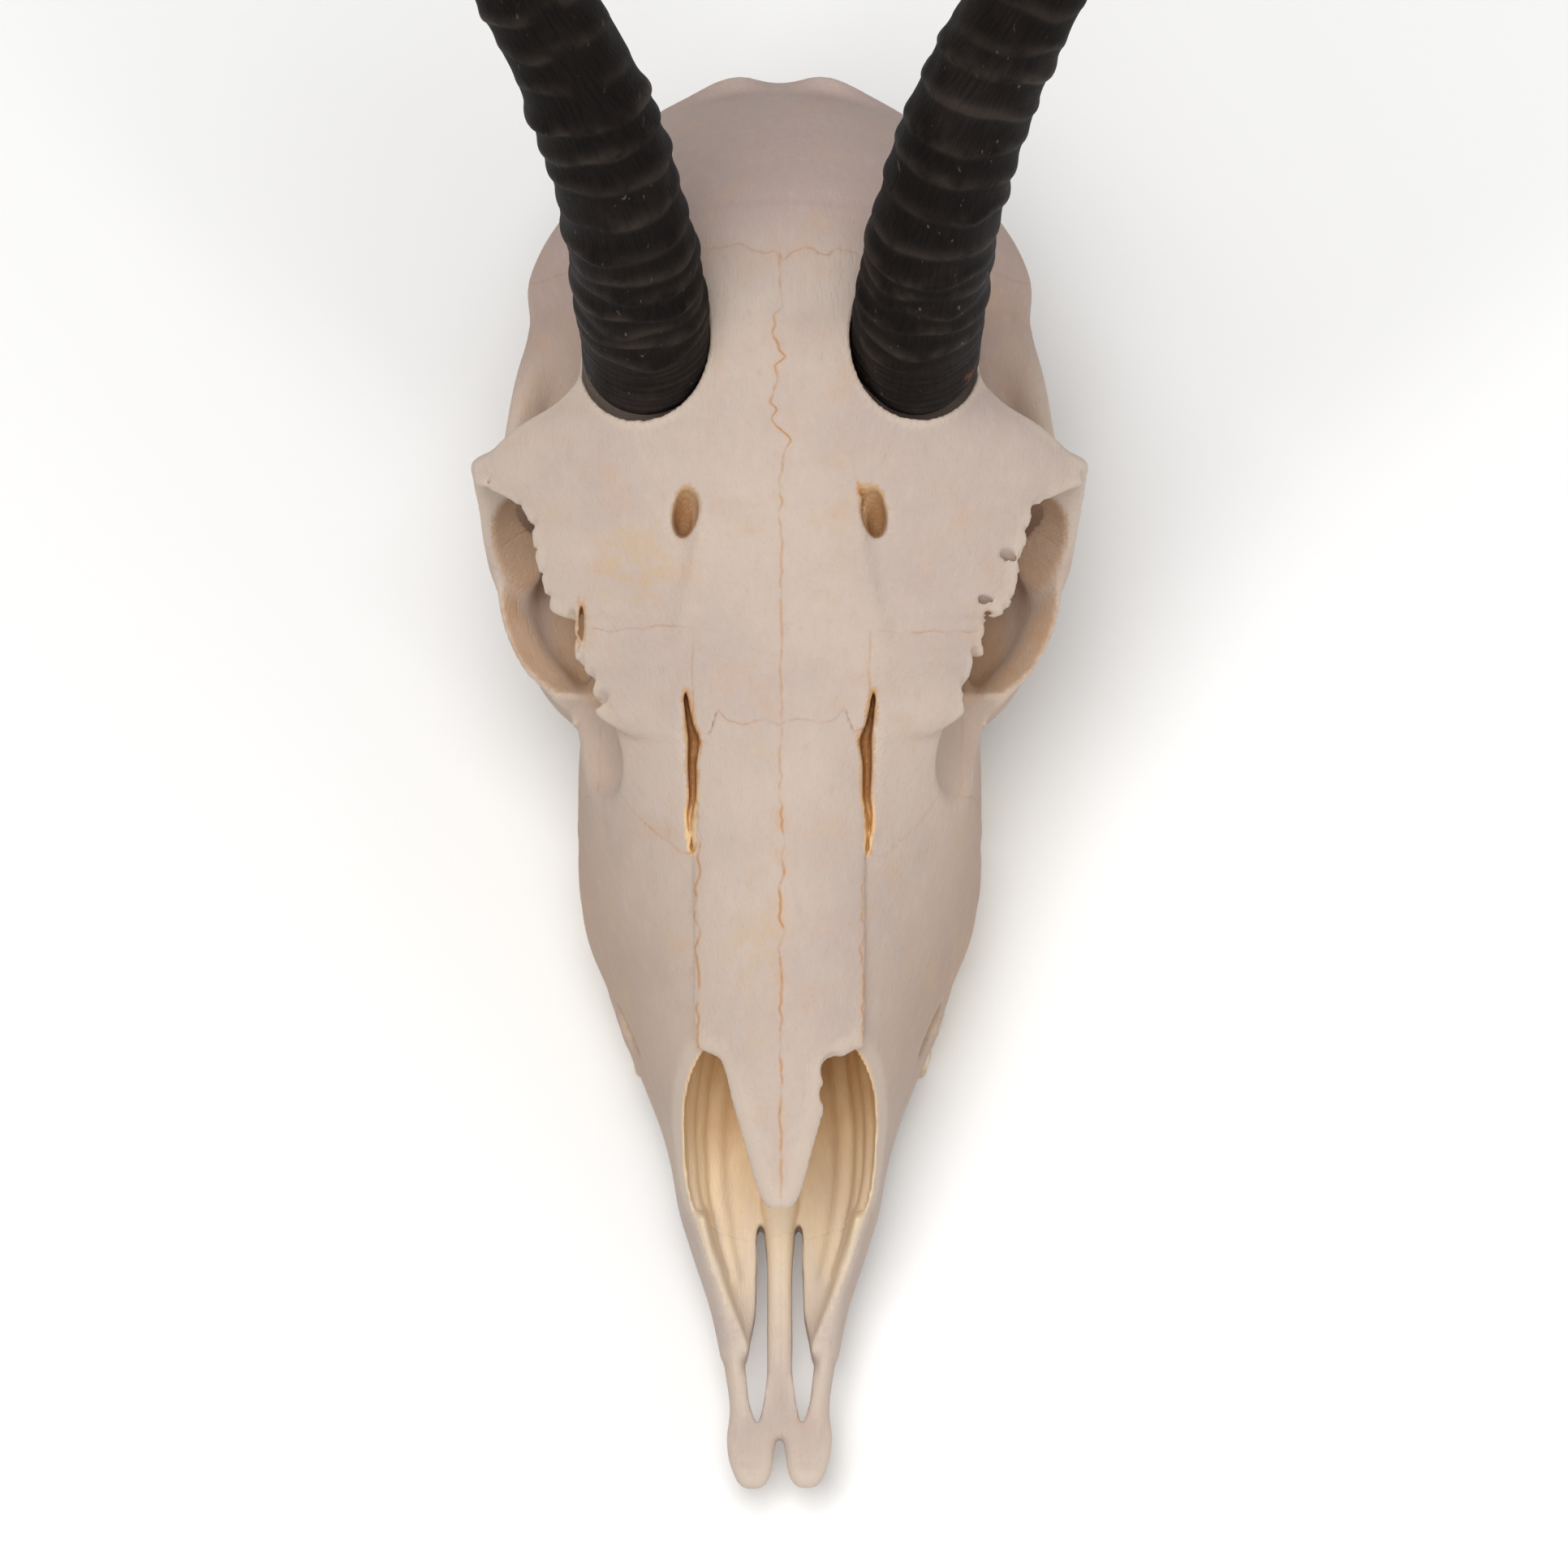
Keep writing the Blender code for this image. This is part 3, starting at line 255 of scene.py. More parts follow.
    def egg(self, centre, radii, fillet, turn=(0.0, 0.0, 0.0), carve=False, tint=0.0):
        """An egg-shaped form, turned by degrees about x, y and z."""
        ax, ay, az = (math.radians(angle) for angle in turn)
        rx = np.array([[1, 0, 0], [0, math.cos(ax), -math.sin(ax)], [0, math.sin(ax), math.cos(ax)]])
        ry = np.array([[math.cos(ay), 0, math.sin(ay)], [0, 1, 0], [-math.sin(ay), 0, math.cos(ay)]])
        rz = np.array([[math.cos(az), -math.sin(az), 0], [math.sin(az), math.cos(az), 0], [0, 0, 1]])
        spin = (rz @ ry @ rx).T
        reach = max(radii) + fillet + 3.0 * GRAIN
        cut, place = self.window(np.array(centre) - reach, np.array(centre) + reach)
        if cut is None:
            return
        dx, du, dz = (axis - middle for axis, middle in zip(place, centre))
        total, steep = 0.0, 0.0
        for row, radius in zip(spin, radii):
            part = (dx * row[0] + du * row[1] + dz * row[2]) / radius
            total = total + part ** 2
            steep = steep + (part / radius) ** 2
        radius = np.sqrt(total) + 1e-4
        self.blend(cut, (radius - 1.0) / np.maximum(np.sqrt(steep) / radius, 1e-3), fillet, carve, tint)

    def tan(self, centre, radii, tint):
        """Mark every surface inside an egg as the wall of a hollow."""
        cut, place = self.window(np.array(centre) - radii, np.array(centre) + radii)
        total = sum(((axis - middle) / radius) ** 2 for axis, middle, radius in zip(place, centre, radii))
        self.shade[cut] = np.maximum(self.shade[cut], tint * np.clip(4.0 * (1.0 - total), 0.0, 1.0))

    def line(self, points, half_width, depth):
        """A groove along a run of points, or a ridge where depth is below zero."""
        points = np.array(points, dtype=np.float64)
        reach = 2.6 * half_width
        cut, place = self.window(points.min(axis=0) - reach, points.max(axis=0) + reach)
        if cut is None:
            return
        nearest = np.full(self.depth[cut].shape, 1e3, dtype=np.float32)
        for a, b in zip(points, points[1:]):
            along = b - a
            dx, du, dz = (axis - start for axis, start in zip(place, a.astype(np.float32)))
            f = np.clip((dx * along[0] + du * along[1] + dz * along[2]) / (along @ along), 0.0, 1.0)
            nearest = np.minimum(nearest, (dx - f * along[0]) ** 2 + (du - f * along[1]) ** 2
                                 + (dz - f * along[2]) ** 2)
        self.depth[cut] += depth * np.exp(-nearest / half_width ** 2)

    def bare(self, rows):
        """Take the marks of a hollow off what lies over the middle of a roof plate."""
        table = np.array(rows, dtype=np.float32)
        corners = [off_face(0.0, a, v)[1:] for a in (table[0, 0], table[-1, 0]) for v in (8.0, 45.0)]
        low, high = np.min(corners, axis=0), np.max(corners, axis=0)
        cut, (x, u, z) = self.window((-60.0, *low), (60.0, *high))
        along, level = u * COS + z * SIN, z * COS - u * SIN
        middle, wide, _, _, _, _, _, droop = curve_through(rows, along)
        inside = (along > table[0, 0]) & (along < table[-1, 0]) & (np.abs(x) < 1.1 * wide + 1.0)
        over = np.clip(level - middle + droop * (x / wide) ** 2 + 1.2, 0.0, 1.0)
        self.shade[cut] *= np.where(inside, 1.0 - over, 1.0)

    def roughen(self, size, amount, seed):
        """Uneven relief all over, with bumps about size apart."""
        lattice = np.random.default_rng(seed).uniform(-amount, amount, [int(n * GRAIN / size) + 5
                                                                         for n in self.depth.shape])
        lattice = lattice.astype(np.float32) * 1.6
        for axis, n in enumerate(self.depth.shape):
            place = np.arange(n, dtype=np.float32) * (GRAIN / size)
            cell = place.astype(np.int64)
            shape = [1, 1, 1]
            shape[axis] = n
            lattice = sum(np.take(lattice, cell + k, axis=axis) * weight.reshape(shape)
                          for k, weight in enumerate(spread_of(place - cell)))
        self.depth += lattice


def build_masses(clay):
    """The big forms: the muzzle, the forehead and the braincase."""
    clay.loft([
        (22, 13, 9.6, 3.6, 3.4, 2.2, 2.4), (30, 13.6, 11.3, 6.5, 4.2, 2.2, 2.6),
        (36, 14.6, 13.2, 10, 5.2, 2.2, 2.8), (42, 16, 15.2, 16, 6.4, 2.2, 3),
        (48, 17.2, 17, 24, 7.4, 2.2, 3.2), (54, 18.2, 18, 30.5, 8.2, 2.2, 3.5),
        (60, 19, 19.4, 34.5, 8.8, 2.2, 4), (70, 20.5, 23.2, 37.5, 8.5, 2.1, 4.5),
        (80, 22, 27.2, 40, 9.2, 2, 5), (90, 23, 30.3, 42.8, 10, 2, 5), (100, 24, 33, 45.8, 11, 2, 5),
        (107, 25, 34.3, 47.4, 12, 2.1, 5), (114, 27, 34.5, 48.3, 14, 2.3, 5),
        (122, 31, 34.4, 47, 17.5, 2.6, 4.5), (130, 37, 33, 44.5, 22, 2.8, 4), (138, 46, 30, 39, 27, 2.8, 3),
        (148, 54, 24, 35, 24, 2.6, 2.4),
    ], 1)
    clay.loft([
        (134, 62, 22, 20, 20, 2.4, 2.4), (150, 68, 21.5, 24, 28, 2.6, 2.4), (164, 72, 25, 27, 32, 2.8, 2.4),
        (178, 74, 29.5, 29.6, 34, 2.4, 2.2), (196, 73, 30, 29, 33, 2.2, 2.2),
    ], 5)
    clay.loft([
        (164, 70, 23, 24, 26, 2.2, 2.2), (176, 71, 29, 31.5, 32, 2.2, 2.2),
        (188, 71, 31.5, 33.8, 36, 2.2, 2.2), (200, 69, 32, 34.4, 38, 2.2, 2.2),
        (210, 65, 32, 33, 38, 2.2, 2.2), (219, 60, 31, 30.5, 34, 2.1, 2.3), (227, 56, 27, 25.5, 30, 2, 2.3),
        (233, 53, 20, 19.5, 24, 1.9, 2.2), (238, 51, 12, 12, 15, 1.9, 2.2),
    ], 4, cap=6)


def build_base(clay):
    """The skull's floor, the plates behind the palate, and what surrounds the ear and the neck joint."""
    clay.loft([
        (140, 40, 7, 18, 10, 2.2, 2.2), (156, 42, 8, 18, 13, 2.2, 2.4), (172, 42, 9, 20, 16, 2.2, 2.4),
        (188, 42, 12, 20, 18, 2.2, 2.4), (204, 42, 13, 20, 21, 2.2, 2.6), (224, 42, 12, 20, 22, 2.2, 2.6),
    ], 4)
    clay.egg((5.5, 204, 22.6), (4, 6.5, 2.8), 3)
    clay.loft([
        (126, 30, 3.2, 18, 15, 2.6, 2.6, 14.5), (136, 30, 2.2, 18, 13, 2.6, 2.6, 13),
        (150, 30, 1.7, 16, 12.5, 2.6, 2.6, 11), (162, 31, 1.5, 14, 11.5, 2.6, 2.6, 9.8),
        (171, 35, 1.5, 10, 8, 2.6, 2.6, 9.2),
    ], 2.5)
    clay.sweep([(10, 158, 26, 1.5, 4), (9.4, 164, 22, 1.4, 2.4), (8.8, 168.5, 19.6, 1.3, 1.5)], 2)
    clay.loft([
        (180, 43.5, 8, 4, 3.2, 2.1, 2.1, 34), (188, 44, 10, 6, 3.6, 2.1, 2.1, 34),
        (195, 44.4, 9.5, 8, 4.4, 2.1, 2.1, 33), (202, 44.4, 9, 9, 7, 2.1, 2.1, 31),
    ], 5, cap=4.5)
    clay.egg((31, 198.5, 38.4), (6.4, 2.4, 3.4), 2.6)
    clay.loft([
        (198, 44, 9, 10, 9, 2.1, 2.1, 28), (206, 45, 10.8, 14, 11, 2.1, 2.1, 30),
        (213, 46, 12, 18, 13, 2.1, 2.1, 27), (220, 48, 12.5, 19, 15, 2.1, 2.1, 22),
        (228, 49, 12.5, 17, 14, 2.1, 2.1, 14),
    ], 5, cap=5)
    clay.egg((17.4, 201, 27.4), (6.4, 11.5, 10), 1.6, (-10, 10, 10))
    clay.sweep([(15.8, 192.5, 24, 2.8, 3.2), (13.8, 187, 23, 1.9, 2), (12.8, 184, 22.6, 1.3, 1.3)], 2)
    clay.sweep([(22, 202, 34, 4.2, 4.2), (29, 204.5, 39, 3.8, 4.2), (36.8, 206, 42.6, 3.3, 3.8)], 2.2)
    clay.egg((12.8, 227, 30), (6.4, 8.8, 10.6), 1.3, (-14, 22, 14))
    clay.egg((7.6, 221.5, 21.5), (5.4, 8, 4.6), 1.6, (-8, 8, 8))
    clay.egg((21.6, 222, 31), (2.2, 5.5, 7.5), 2, (0, 8, 0), carve=True)
    clay.sweep([
        (27.6, 217, 48, 7, 7), (27, 217, 37, 5.6, 6.4), (26.3, 216, 26, 4, 5.4), (25.4, 214, 13.5, 2.8, 4),
        (24.8, 212.4, 5.5, 2.2, 2.9), (24.4, 211.6, 2, 2, 2.2),
    ], 3, rise=(0, 1, 0))
    clay.sweep([
        (-6.5, 232.8, 73.8, 1.7, 1.7), (0, 231.6, 72.8, 1.5, 1.5), (6.5, 232.8, 73.8, 1.7, 1.7),
        (17, 229.4, 69.4, 1.6, 1.6), (26, 223.6, 62.5, 1.8, 1.9), (33, 216.6, 54, 2.2, 2.4),
        (38.4, 210.4, 49, 2.8, 2.8), (40.2, 205, 47.4, 3, 2.9), (39.8, 199, 46.6, 2.8, 2.8),
    ], 4.5)
    clay.line([(0, 236.5, 66), (0, 238.5, 54)], 2, -0.7)
    clay.egg((10.5, 242.5, 58), (8, 5, 10), 4, (12, 0, 0), carve=True)


def build_cheek(clay):
    """The cheekbone under the orbit and its arch back to the ear."""
    clay.sweep([
        (22.6, 104, 35, 4, 9), (23.6, 113, 39, 4.6, 11), (25.6, 121, 41.6, 3.8, 11.6),
        (29.8, 127.5, 42.8, 3.2, 11.6), (34.9, 132.5, 43.4, 2.8, 11.2), (39.2, 137.5, 44, 2.5, 10.6),
        (42.4, 145, 45, 2.2, 9.6), (44, 154, 46.4, 2.1, 8.4), (45, 164, 47.4, 2, 6.2),
        (44.2, 175, 47.4, 2.2, 5.2), (42.4, 185, 47, 3.2, 4.8), (39.4, 194, 46.2, 4.2, 4.8),
        (33, 200, 46, 5, 5.6),
    ], 2.6, rise=(0.62, 0, 1))
    clay.egg((33.5, 139.5, 41.5), (8.5, 12.5, 4.6), 3, (0, -10, -12))


def build_bar(clay):
    """The bar behind the orbit, from the brow's corner down to the arch."""
    clay.sweep([
        (46, 161, 79, 6.2, 1.9), (45.2, 159.6, 72, 6.8, 1.9), (44.8, 157.2, 64, 6.4, 2),
        (44.8, 153.6, 55, 5.4, 3), (45.2, 150, 47, 2.8, 4.2),
    ], 2, rise=(0, 1, 0))


def carve_hollows(clay):
    """The orbits, the nasal passage, the vault of the palate, the throat and the spinal hole."""
    rim = ((8, 16), (16, 17), (24, 19), (32, 23.5), (40, 31), (47, 40), (53, 47.5), (58, 52), (61, 56))
    clay.loft([(u, z + 30, 30, 30, 30, 9, 9) for u, z in rim], 0.8, carve=True)
    clay.loft([
        (20, 20, 4.6, 12, 8, 2.6, 2.4), (27, 22, 7.4, 14, 9, 2.6, 2.4), (34, 24, 10.6, 16, 10, 2.6, 2.4),
        (42, 27, 13.4, 22, 12, 2.8, 2.6), (50, 30, 15.6, 27, 14, 2.8, 2.6), (58, 32, 16, 24, 15, 2.8, 2.6),
        (66, 34, 15.4, 22, 16, 2.6, 2.6), (76, 36, 14, 21, 17, 2.4, 2.4), (92, 39, 11, 20, 15, 2.2, 2.2),
        (104, 42, 6, 14, 10, 2.2, 2.2),
    ], 0.8, carve=True, tint=0.8)
    clay.loft([
        (44, 9, 8, 2, 12, 2, 2), (62, 9, 11, 5, 12, 2, 2), (80, 9, 15, 7.6, 12, 2.2, 2),
        (104, 9, 18, 10, 12, 2.4, 2), (126, 9, 18.5, 11, 12, 2.4, 2), (142, 9, 18.5, 11, 12, 2.4, 2),
    ], 2.5, carve=True)
    clay.loft([
        (127, 26, 4, 8, 14, 2.2, 2.4), (133, 26, 8.8, 11, 18, 2.2, 2.4), (150, 24, 8.6, 11, 18, 2.2, 2.4),
        (172, 20, 7.2, 7, 16, 2.2, 2.4),
    ], 1.2, carve=True, tint=0.5)
    clay.loft([
        (206, 36, 8, 8, 8, 2, 2), (218, 35, 8.6, 8.6, 8, 2, 2), (229, 34, 9.2, 8.8, 8.4, 2, 2),
        (246, 32, 10.2, 10.4, 9, 2, 2),
    ], 1.6, carve=True, tint=0.9)
    clay.egg((0, 203, 42), (14, 17, 14), 2, carve=True, tint=1)
    clay.egg((0, 231, 19), (2.6, 9, 6), 2, carve=True)
    x, u, z = ORBIT
    clay.egg((x - 5, u, z), (19, 19.5, 18), 1, (0, -10, -14), carve=True, tint=0.5)
    clay.egg((x - 17, u + 6, z - 5), (13.5, 15, 13), 3, carve=True, tint=0.5)
    clay.tan((27, 147, 57), (15, 24, 24), 0.5)


# The roof plate over the orbits and the nasal roof, as rows for a loft along the face
BROW = [
    (132, 27.6, 26, 2.6, 5, 2.2, 2.4, 0, 5.6), (136.5, 28, 31.4, 2.6, 4.6, 2.3, 2.4, 0, 7),
    (141, 28.6, 31.6, 2.6, 4.6, 2.3, 2.4, 0, 7), (145, 29.2, 34.4, 2.8, 4.6, 2.3, 2.4, 0, 7.4),
    (151, 30, 34.8, 3, 4.4, 2.3, 2.4, 0, 7), (153.2, 30.2, 38.6, 3, 4.2, 2.3, 2.4, 0, 8),
    (158.4, 31, 40.2, 3.1, 4, 2.3, 2.4, 0, 8.2), (163, 31.6, 41.5, 3.2, 3.8, 2.3, 2.4, 0, 8.6),
    (167, 32.2, 42, 3.2, 3.6, 2.3, 2.4, 0, 9), (170, 32.6, 43.2, 3.2, 3.4, 2.3, 2.4, 0, 9.8),
    (172, 33, 45.4, 3.2, 3.4, 2.3, 2.4, 0, 11), (173.6, 33.2, 48.6, 3.2, 3.4, 2.3, 2.4, 0, 12.8),
    (175, 33.4, 51.8, 3.2, 3.4, 2.3, 2.4, 0, 14.5), (177, 33.7, 51.2, 3.2, 3.6, 2.3, 2.4, 0, 14.3),
    (180.5, 34.2, 48.6, 3.2, 3.8, 2.3, 2.4, 0, 13.5), (184.4, 34.6, 44.2, 3.1, 4, 2.3, 2.4, 0, 12.3),
    (189, 34.8, 37, 3, 4.4, 2.2, 2.4, 0, 10.6), (196, 34.6, 31, 2.6, 5, 2.2, 2.4, 0, 9),
    (204, 33, 25, 2, 5, 2.2, 2.4, 0, 8),
]
NOSE_ROOF = [
    (51.8, 28.6, 1.8, 1.2, 1, 2.2, 2.2, 0, 0.1), (54, 28.6, 3.2, 1.3, 1, 2.2, 2.2, 0, 0.2),
    (60, 28.9, 5, 1.4, 1.1, 2.2, 2.4, 0, 0.5), (70, 29.3, 7.8, 1.5, 1.2, 2.2, 2.4, 0, 1),
    (77, 29.6, 9.8, 1.6, 1.3, 2.2, 2.4, 0, 1.6), (79.5, 29.7, 14, 1.6, 1.4, 2.4, 2.6, 0, 3.2),
    (100, 30.2, 14.2, 1.8, 2, 2.4, 2.6, 0, 3.2), (120, 30.4, 14.2, 1.8, 2.2, 2.4, 2.6, 0, 3),
    (140, 30.2, 14.2, 1.8, 2.2, 2.4, 2.6, 0, 3),
]


def build_brow(clay):
    """The roof plate over the orbits."""
    clay.loft(BROW, 2, face=True)
    clay.bare(BROW)


def build_nose(clay):
    """The nasal roof, the premaxillae and the paired rod between the slots."""
    clay.loft(NOSE_ROOF, 0.8, face=True, cap=0.6)
    clay.bare(NOSE_ROOF)
    clay.loft([
        (-0.6, 11.4, 1.7, 0.9, 0.9, 2.2, 2.2, 4.4), (1.5, 11.5, 3, 1.5, 1.5, 2.4, 2.4, 4.4),
        (5, 11.9, 3.9, 2, 2, 2.6, 2.4, 4.6), (9, 12.1, 4.3, 2.1, 2.1, 2.9, 2.4, 4.4),
        (14, 12.3, 3.9, 2.1, 2.1, 2.9, 2.4, 3.9), (19, 12.4, 3.7, 2, 2.1, 2.9, 2.4, 3.7),
    ], 0.9)
    clay.sweep([
        (6, 12, 12.2, 2, 2.2), (7, 18, 12.4, 1.7, 2.6), (8, 25, 13.2, 1.7, 3.4), (9.6, 32, 14.4, 1.7, 4.8),
        (12, 39, 16, 1.7, 7), (14, 46, 19, 1.7, 9),
    ], 1)
    clay.loft([
        (8, 12, 2.6, 1.8, 1.8, 2.6, 2.4), (24, 12.6, 2.1, 2, 1.8, 2.4, 2.4),
        (36, 13.4, 1.9, 2.4, 1.9, 2.4, 2.4), (44, 14.6, 2.2, 3, 2.2, 2.4, 2.4),
        (49, 16.4, 2.9, 3.6, 3, 2.4, 2.4), (60, 18, 2, 4.4, 4, 2.4, 2.4), (84, 22, 1.4, 5, 6, 2.4, 2.4),
    ], 0.8)


def build_turbinates(clay):
    """The scrolls that line the nasal passage, low folds that run lengthwise on its floor and walls."""
    passage = ((36, 11.2, 24.6, 10.2), (44, 13.8, 27.6, 12.4), (52, 15.6, 30.4, 14.2),
               (60, 16, 32.4, 15.2), (70, 15, 34.8, 16.4), (82, 13.2, 37, 16.6), (96, 10.2, 39.8, 14))
    for angle, size in ((32, 0.8), (54, 1), (70, 1)):
        across, down = math.sin(math.radians(angle)) ** 0.71, math.cos(math.radians(angle)) ** 0.77
        clay.sweep([
            (half * across + 0.3, u, middle - deep * down, (0.9 + 0.012 * (u - 36)) * size,
             (1.2 + 0.02 * (u - 36)) * size)
            for u, half, middle, deep in passage
        ], 1.4, rise=(0.3, 0, 1))


def carve_small(clay):
    """The slots of the snout, the vessel holes and the gaps beside the nasal bones."""
    slot = ((10.5, 0.3, 3.6), (15, 1.4, 3.75), (20.5, 1.9, 3.7), (25, 1.6, 3.4), (31, 1.1, 2.9),
            (39, 0.9, 2.8), (44.5, 0.7, 3), (46, 0.2, 3))
    clay.loft([(u, 12, half, 9, 9, 2.4, 2.4, x) for u, half, x in slot], 0.4, carve=True)
    clay.egg(off_face(15.6, 169.8, 34), (2.1, 2.8, 6), 0.8, (-20, 0, 10), carve=True, tint=0.6)
    clay.egg(off_face(16, 169, 31), (1.5, 1.7, 9), 0.3, (-20, 0, 10), carve=True, tint=0.9)
    clay.line([off_face(16.2, 166.4, 34.4), off_face(18, 159, 33.8), off_face(20.4, 151, 32.8)], 2.4, 0.8)
    clay.line([off_face(13.2, 165.4, 34.8), off_face(15.2, 158, 34.2), off_face(17.8, 149, 33)], 2.2, -0.7)
    gap = ((112, 0.2, 14.6), (118, 0.4, 15), (122, 0.6, 14.5), (127, 0.7, 14.6), (131, 1, 14.3),
           (134, 0.6, 15), (140, 0.2, 15.9))
    clay.loft([(s, 30, half, 7, 6, 2.6, 2.6, x) for s, half, x in gap], 0.4, face=True, carve=True, tint=1)


def detail_face(clay):
    """The cheek's bump, the hollow before the orbit, the vessel hole of the muzzle and the tooth roots."""
    clay.egg((28, 101, 23), (4, 10, 5), 5)
    clay.egg((36, 115.5, 57), (10, 13.5, 10), 1.2, (-22, 22, 0), carve=True)
    clay.line([off_face(24.4, 136, 27.5), off_face(24.3, 128, 26.6), off_face(23.4, 115, 25)], 0.9, -0.6)
    clay.line([(35.2, 124.6, 49), (34, 124.2, 53.5), (31, 125, 59.5), (28.4, 126, 64.5)], 1.1, -0.8)
    clay.egg((24.6, 78, 26), (3.4, 4.6, 2.2), 1.6, (8, 0, -14), carve=True, tint=0.2)
    clay.line([(24, 75, 26), (22, 66, 24), (19.5, 56, 22)], 2.6, 0.35)
    start = TOOTH_FRONT
    for length, half_width in zip(TOOTH_LENGTHS, TOOTH_HALF_WIDTHS):
        for share in (0.27, 0.73):
            u = start + share * length
            x = float(curve_through(TOOTH_LINE, u)[0])
            clay.sweep([
                (x + half_width - 2.2, u, PALATE_Z + 1.6, 1.7, 0.22 * length),
                (x + half_width - 1.2, u + 0.4, PALATE_Z + 9, 1.2, 0.17 * length),
            ], 2.4, rise=(0, 1, 0))
        start += length


def detail_orbit(clay):
    """The tear hole inside the front rim, and the holes for the eye's nerves."""
    clay.egg((31, 123.5, 57), (1.8, 4.4, 1.5), 0.8, (0, 0, -24), carve=True, tint=0.9)
    clay.egg((12, 158, 60), (4.5, 3.4, 3), 1, carve=True, tint=0.9)
    clay.egg((11, 160, 50), (4, 3.6, 4), 1.2, carve=True, tint=0.9)


def detail_rear(clay):
    """The ear hole, the holes of the base, and the lines where the jaw and neck muscles took hold."""
    clay.egg((38.4, 206.4, 42.4), (5, 2.2, 2.4), 0.8, (0, -14, 8), carve=True, tint=1)
    clay.line([off_face(31, 200, 31), (28.5, 196, 93), (28, 210, 87), (26, 222, 76)], 1.6, -0.35)
    clay.egg((15, 180, 30), (2.2, 3.2, 4), 1, carve=True, tint=0.8)
    clay.egg((10.4, 211.5, 23.5), (2, 4.4, 3), 1, (0, 0, 30), carve=True, tint=0.8)
    clay.line([(0, 176, 25), (0, 200, 21)], 1.6, 0.5)


def detail_palate(clay):
    """The vessel holes of the palate and the low ridges along it."""
    clay.egg((10.5, 108, 19), (1.7, 2.8, 4), 0.8, carve=True)
    clay.line([(10.5, 104, 18.6), (9, 90, 17), (7, 74, 15)], 1.2, 0.5)
    clay.line([(0, 56, 12), (0, 90, 17.6), (0, 124, 20)], 1.2, -0.45)


def seat_horns(clay):
    """The stump of bone under each horn, a little narrower than the foot of its sheath."""
    rows = [horn_station(t, grow) for t, grow in ((-26.0, -1.2), (-14.0, 0.0), (-8.0, -0.3), (-3.0, -0.5))]
    clay.sweep(rows, 3.0, end=(horn_place(-4.4), horn_heading(0.0)))


def cut_horn_seats(clay):
    """The seat of the horn's sheath."""
    marks = (-HORN_SINK - HORN_GAP, 0.0, 8.0, 16.0, 24.0, 34.0)
    rows = [horn_station(t, HORN_GAP) for t in marks]
    clay.sweep(rows, 0.4, carve=True)


def horn_heading(t):
    """The direction of the left horn at a distance along it."""
    rise, spread, _, _ = (float(value) for value in curve_through(HORN_LINE, max(t, 0.0)))
    rise, spread = math.radians(rise), math.radians(spread)
    level = math.cos(rise)
    return Vector(off_face(math.sin(spread) * level, math.cos(spread) * level, math.sin(rise)))


def horn_place(t):
    """The middle of the left horn at a distance along it."""
    place = Vector(HORN_BASE)
    steps = max(1, math.ceil(abs(t)))
    for k in range(steps):
        place += horn_heading(t * (k + 0.5) / steps) * (t / steps)
    return place


def horn_station(t, grow):
    """The middle and the half thickness of the horn, as a row for a sweep."""
    _, _, across, deep = (float(value) for value in curve_through(HORN_LINE, max(t, 0.0)))
    return (*horn_place(t), across + grow, deep + grow)


def one_half():
    """The left half of the skull, which has all that both sides share."""
    low = (-0.5 * GRAIN, -4.0, -4.0)
    count = [math.ceil((high - start) / GRAIN) + 1 for start, high in zip(low, (56.0, 246.0, 112.0))]
    clay = Clay(low, np.full(count, 9.0, dtype=np.float32), np.zeros(count, dtype=np.float32))
    for work in (build_masses, build_base, build_cheek, build_bar, seat_horns, carve_hollows,
                 build_turbinates, build_brow, build_nose, carve_small, detail_face, detail_orbit,
                 detail_rear, detail_palate, cut_horn_seats):
        work(clay)
    heights = clay.low[2] + GRAIN * np.arange(clay.depth.shape[2], dtype=np.float32)
    clay.depth = np.maximum(clay.depth, 0.05 - heights)
    return clay


def both_halves(half):
    """The whole skull from its left half."""
    low = half.low.copy()
    low[0] -= (half.depth.shape[0] - 1) * GRAIN
    depth, shade = (np.ascontiguousarray(np.concatenate([grid[:0:-1], grid], axis=0))
                    for grid in (half.depth, half.shade))
    return Clay(low, depth, shade)


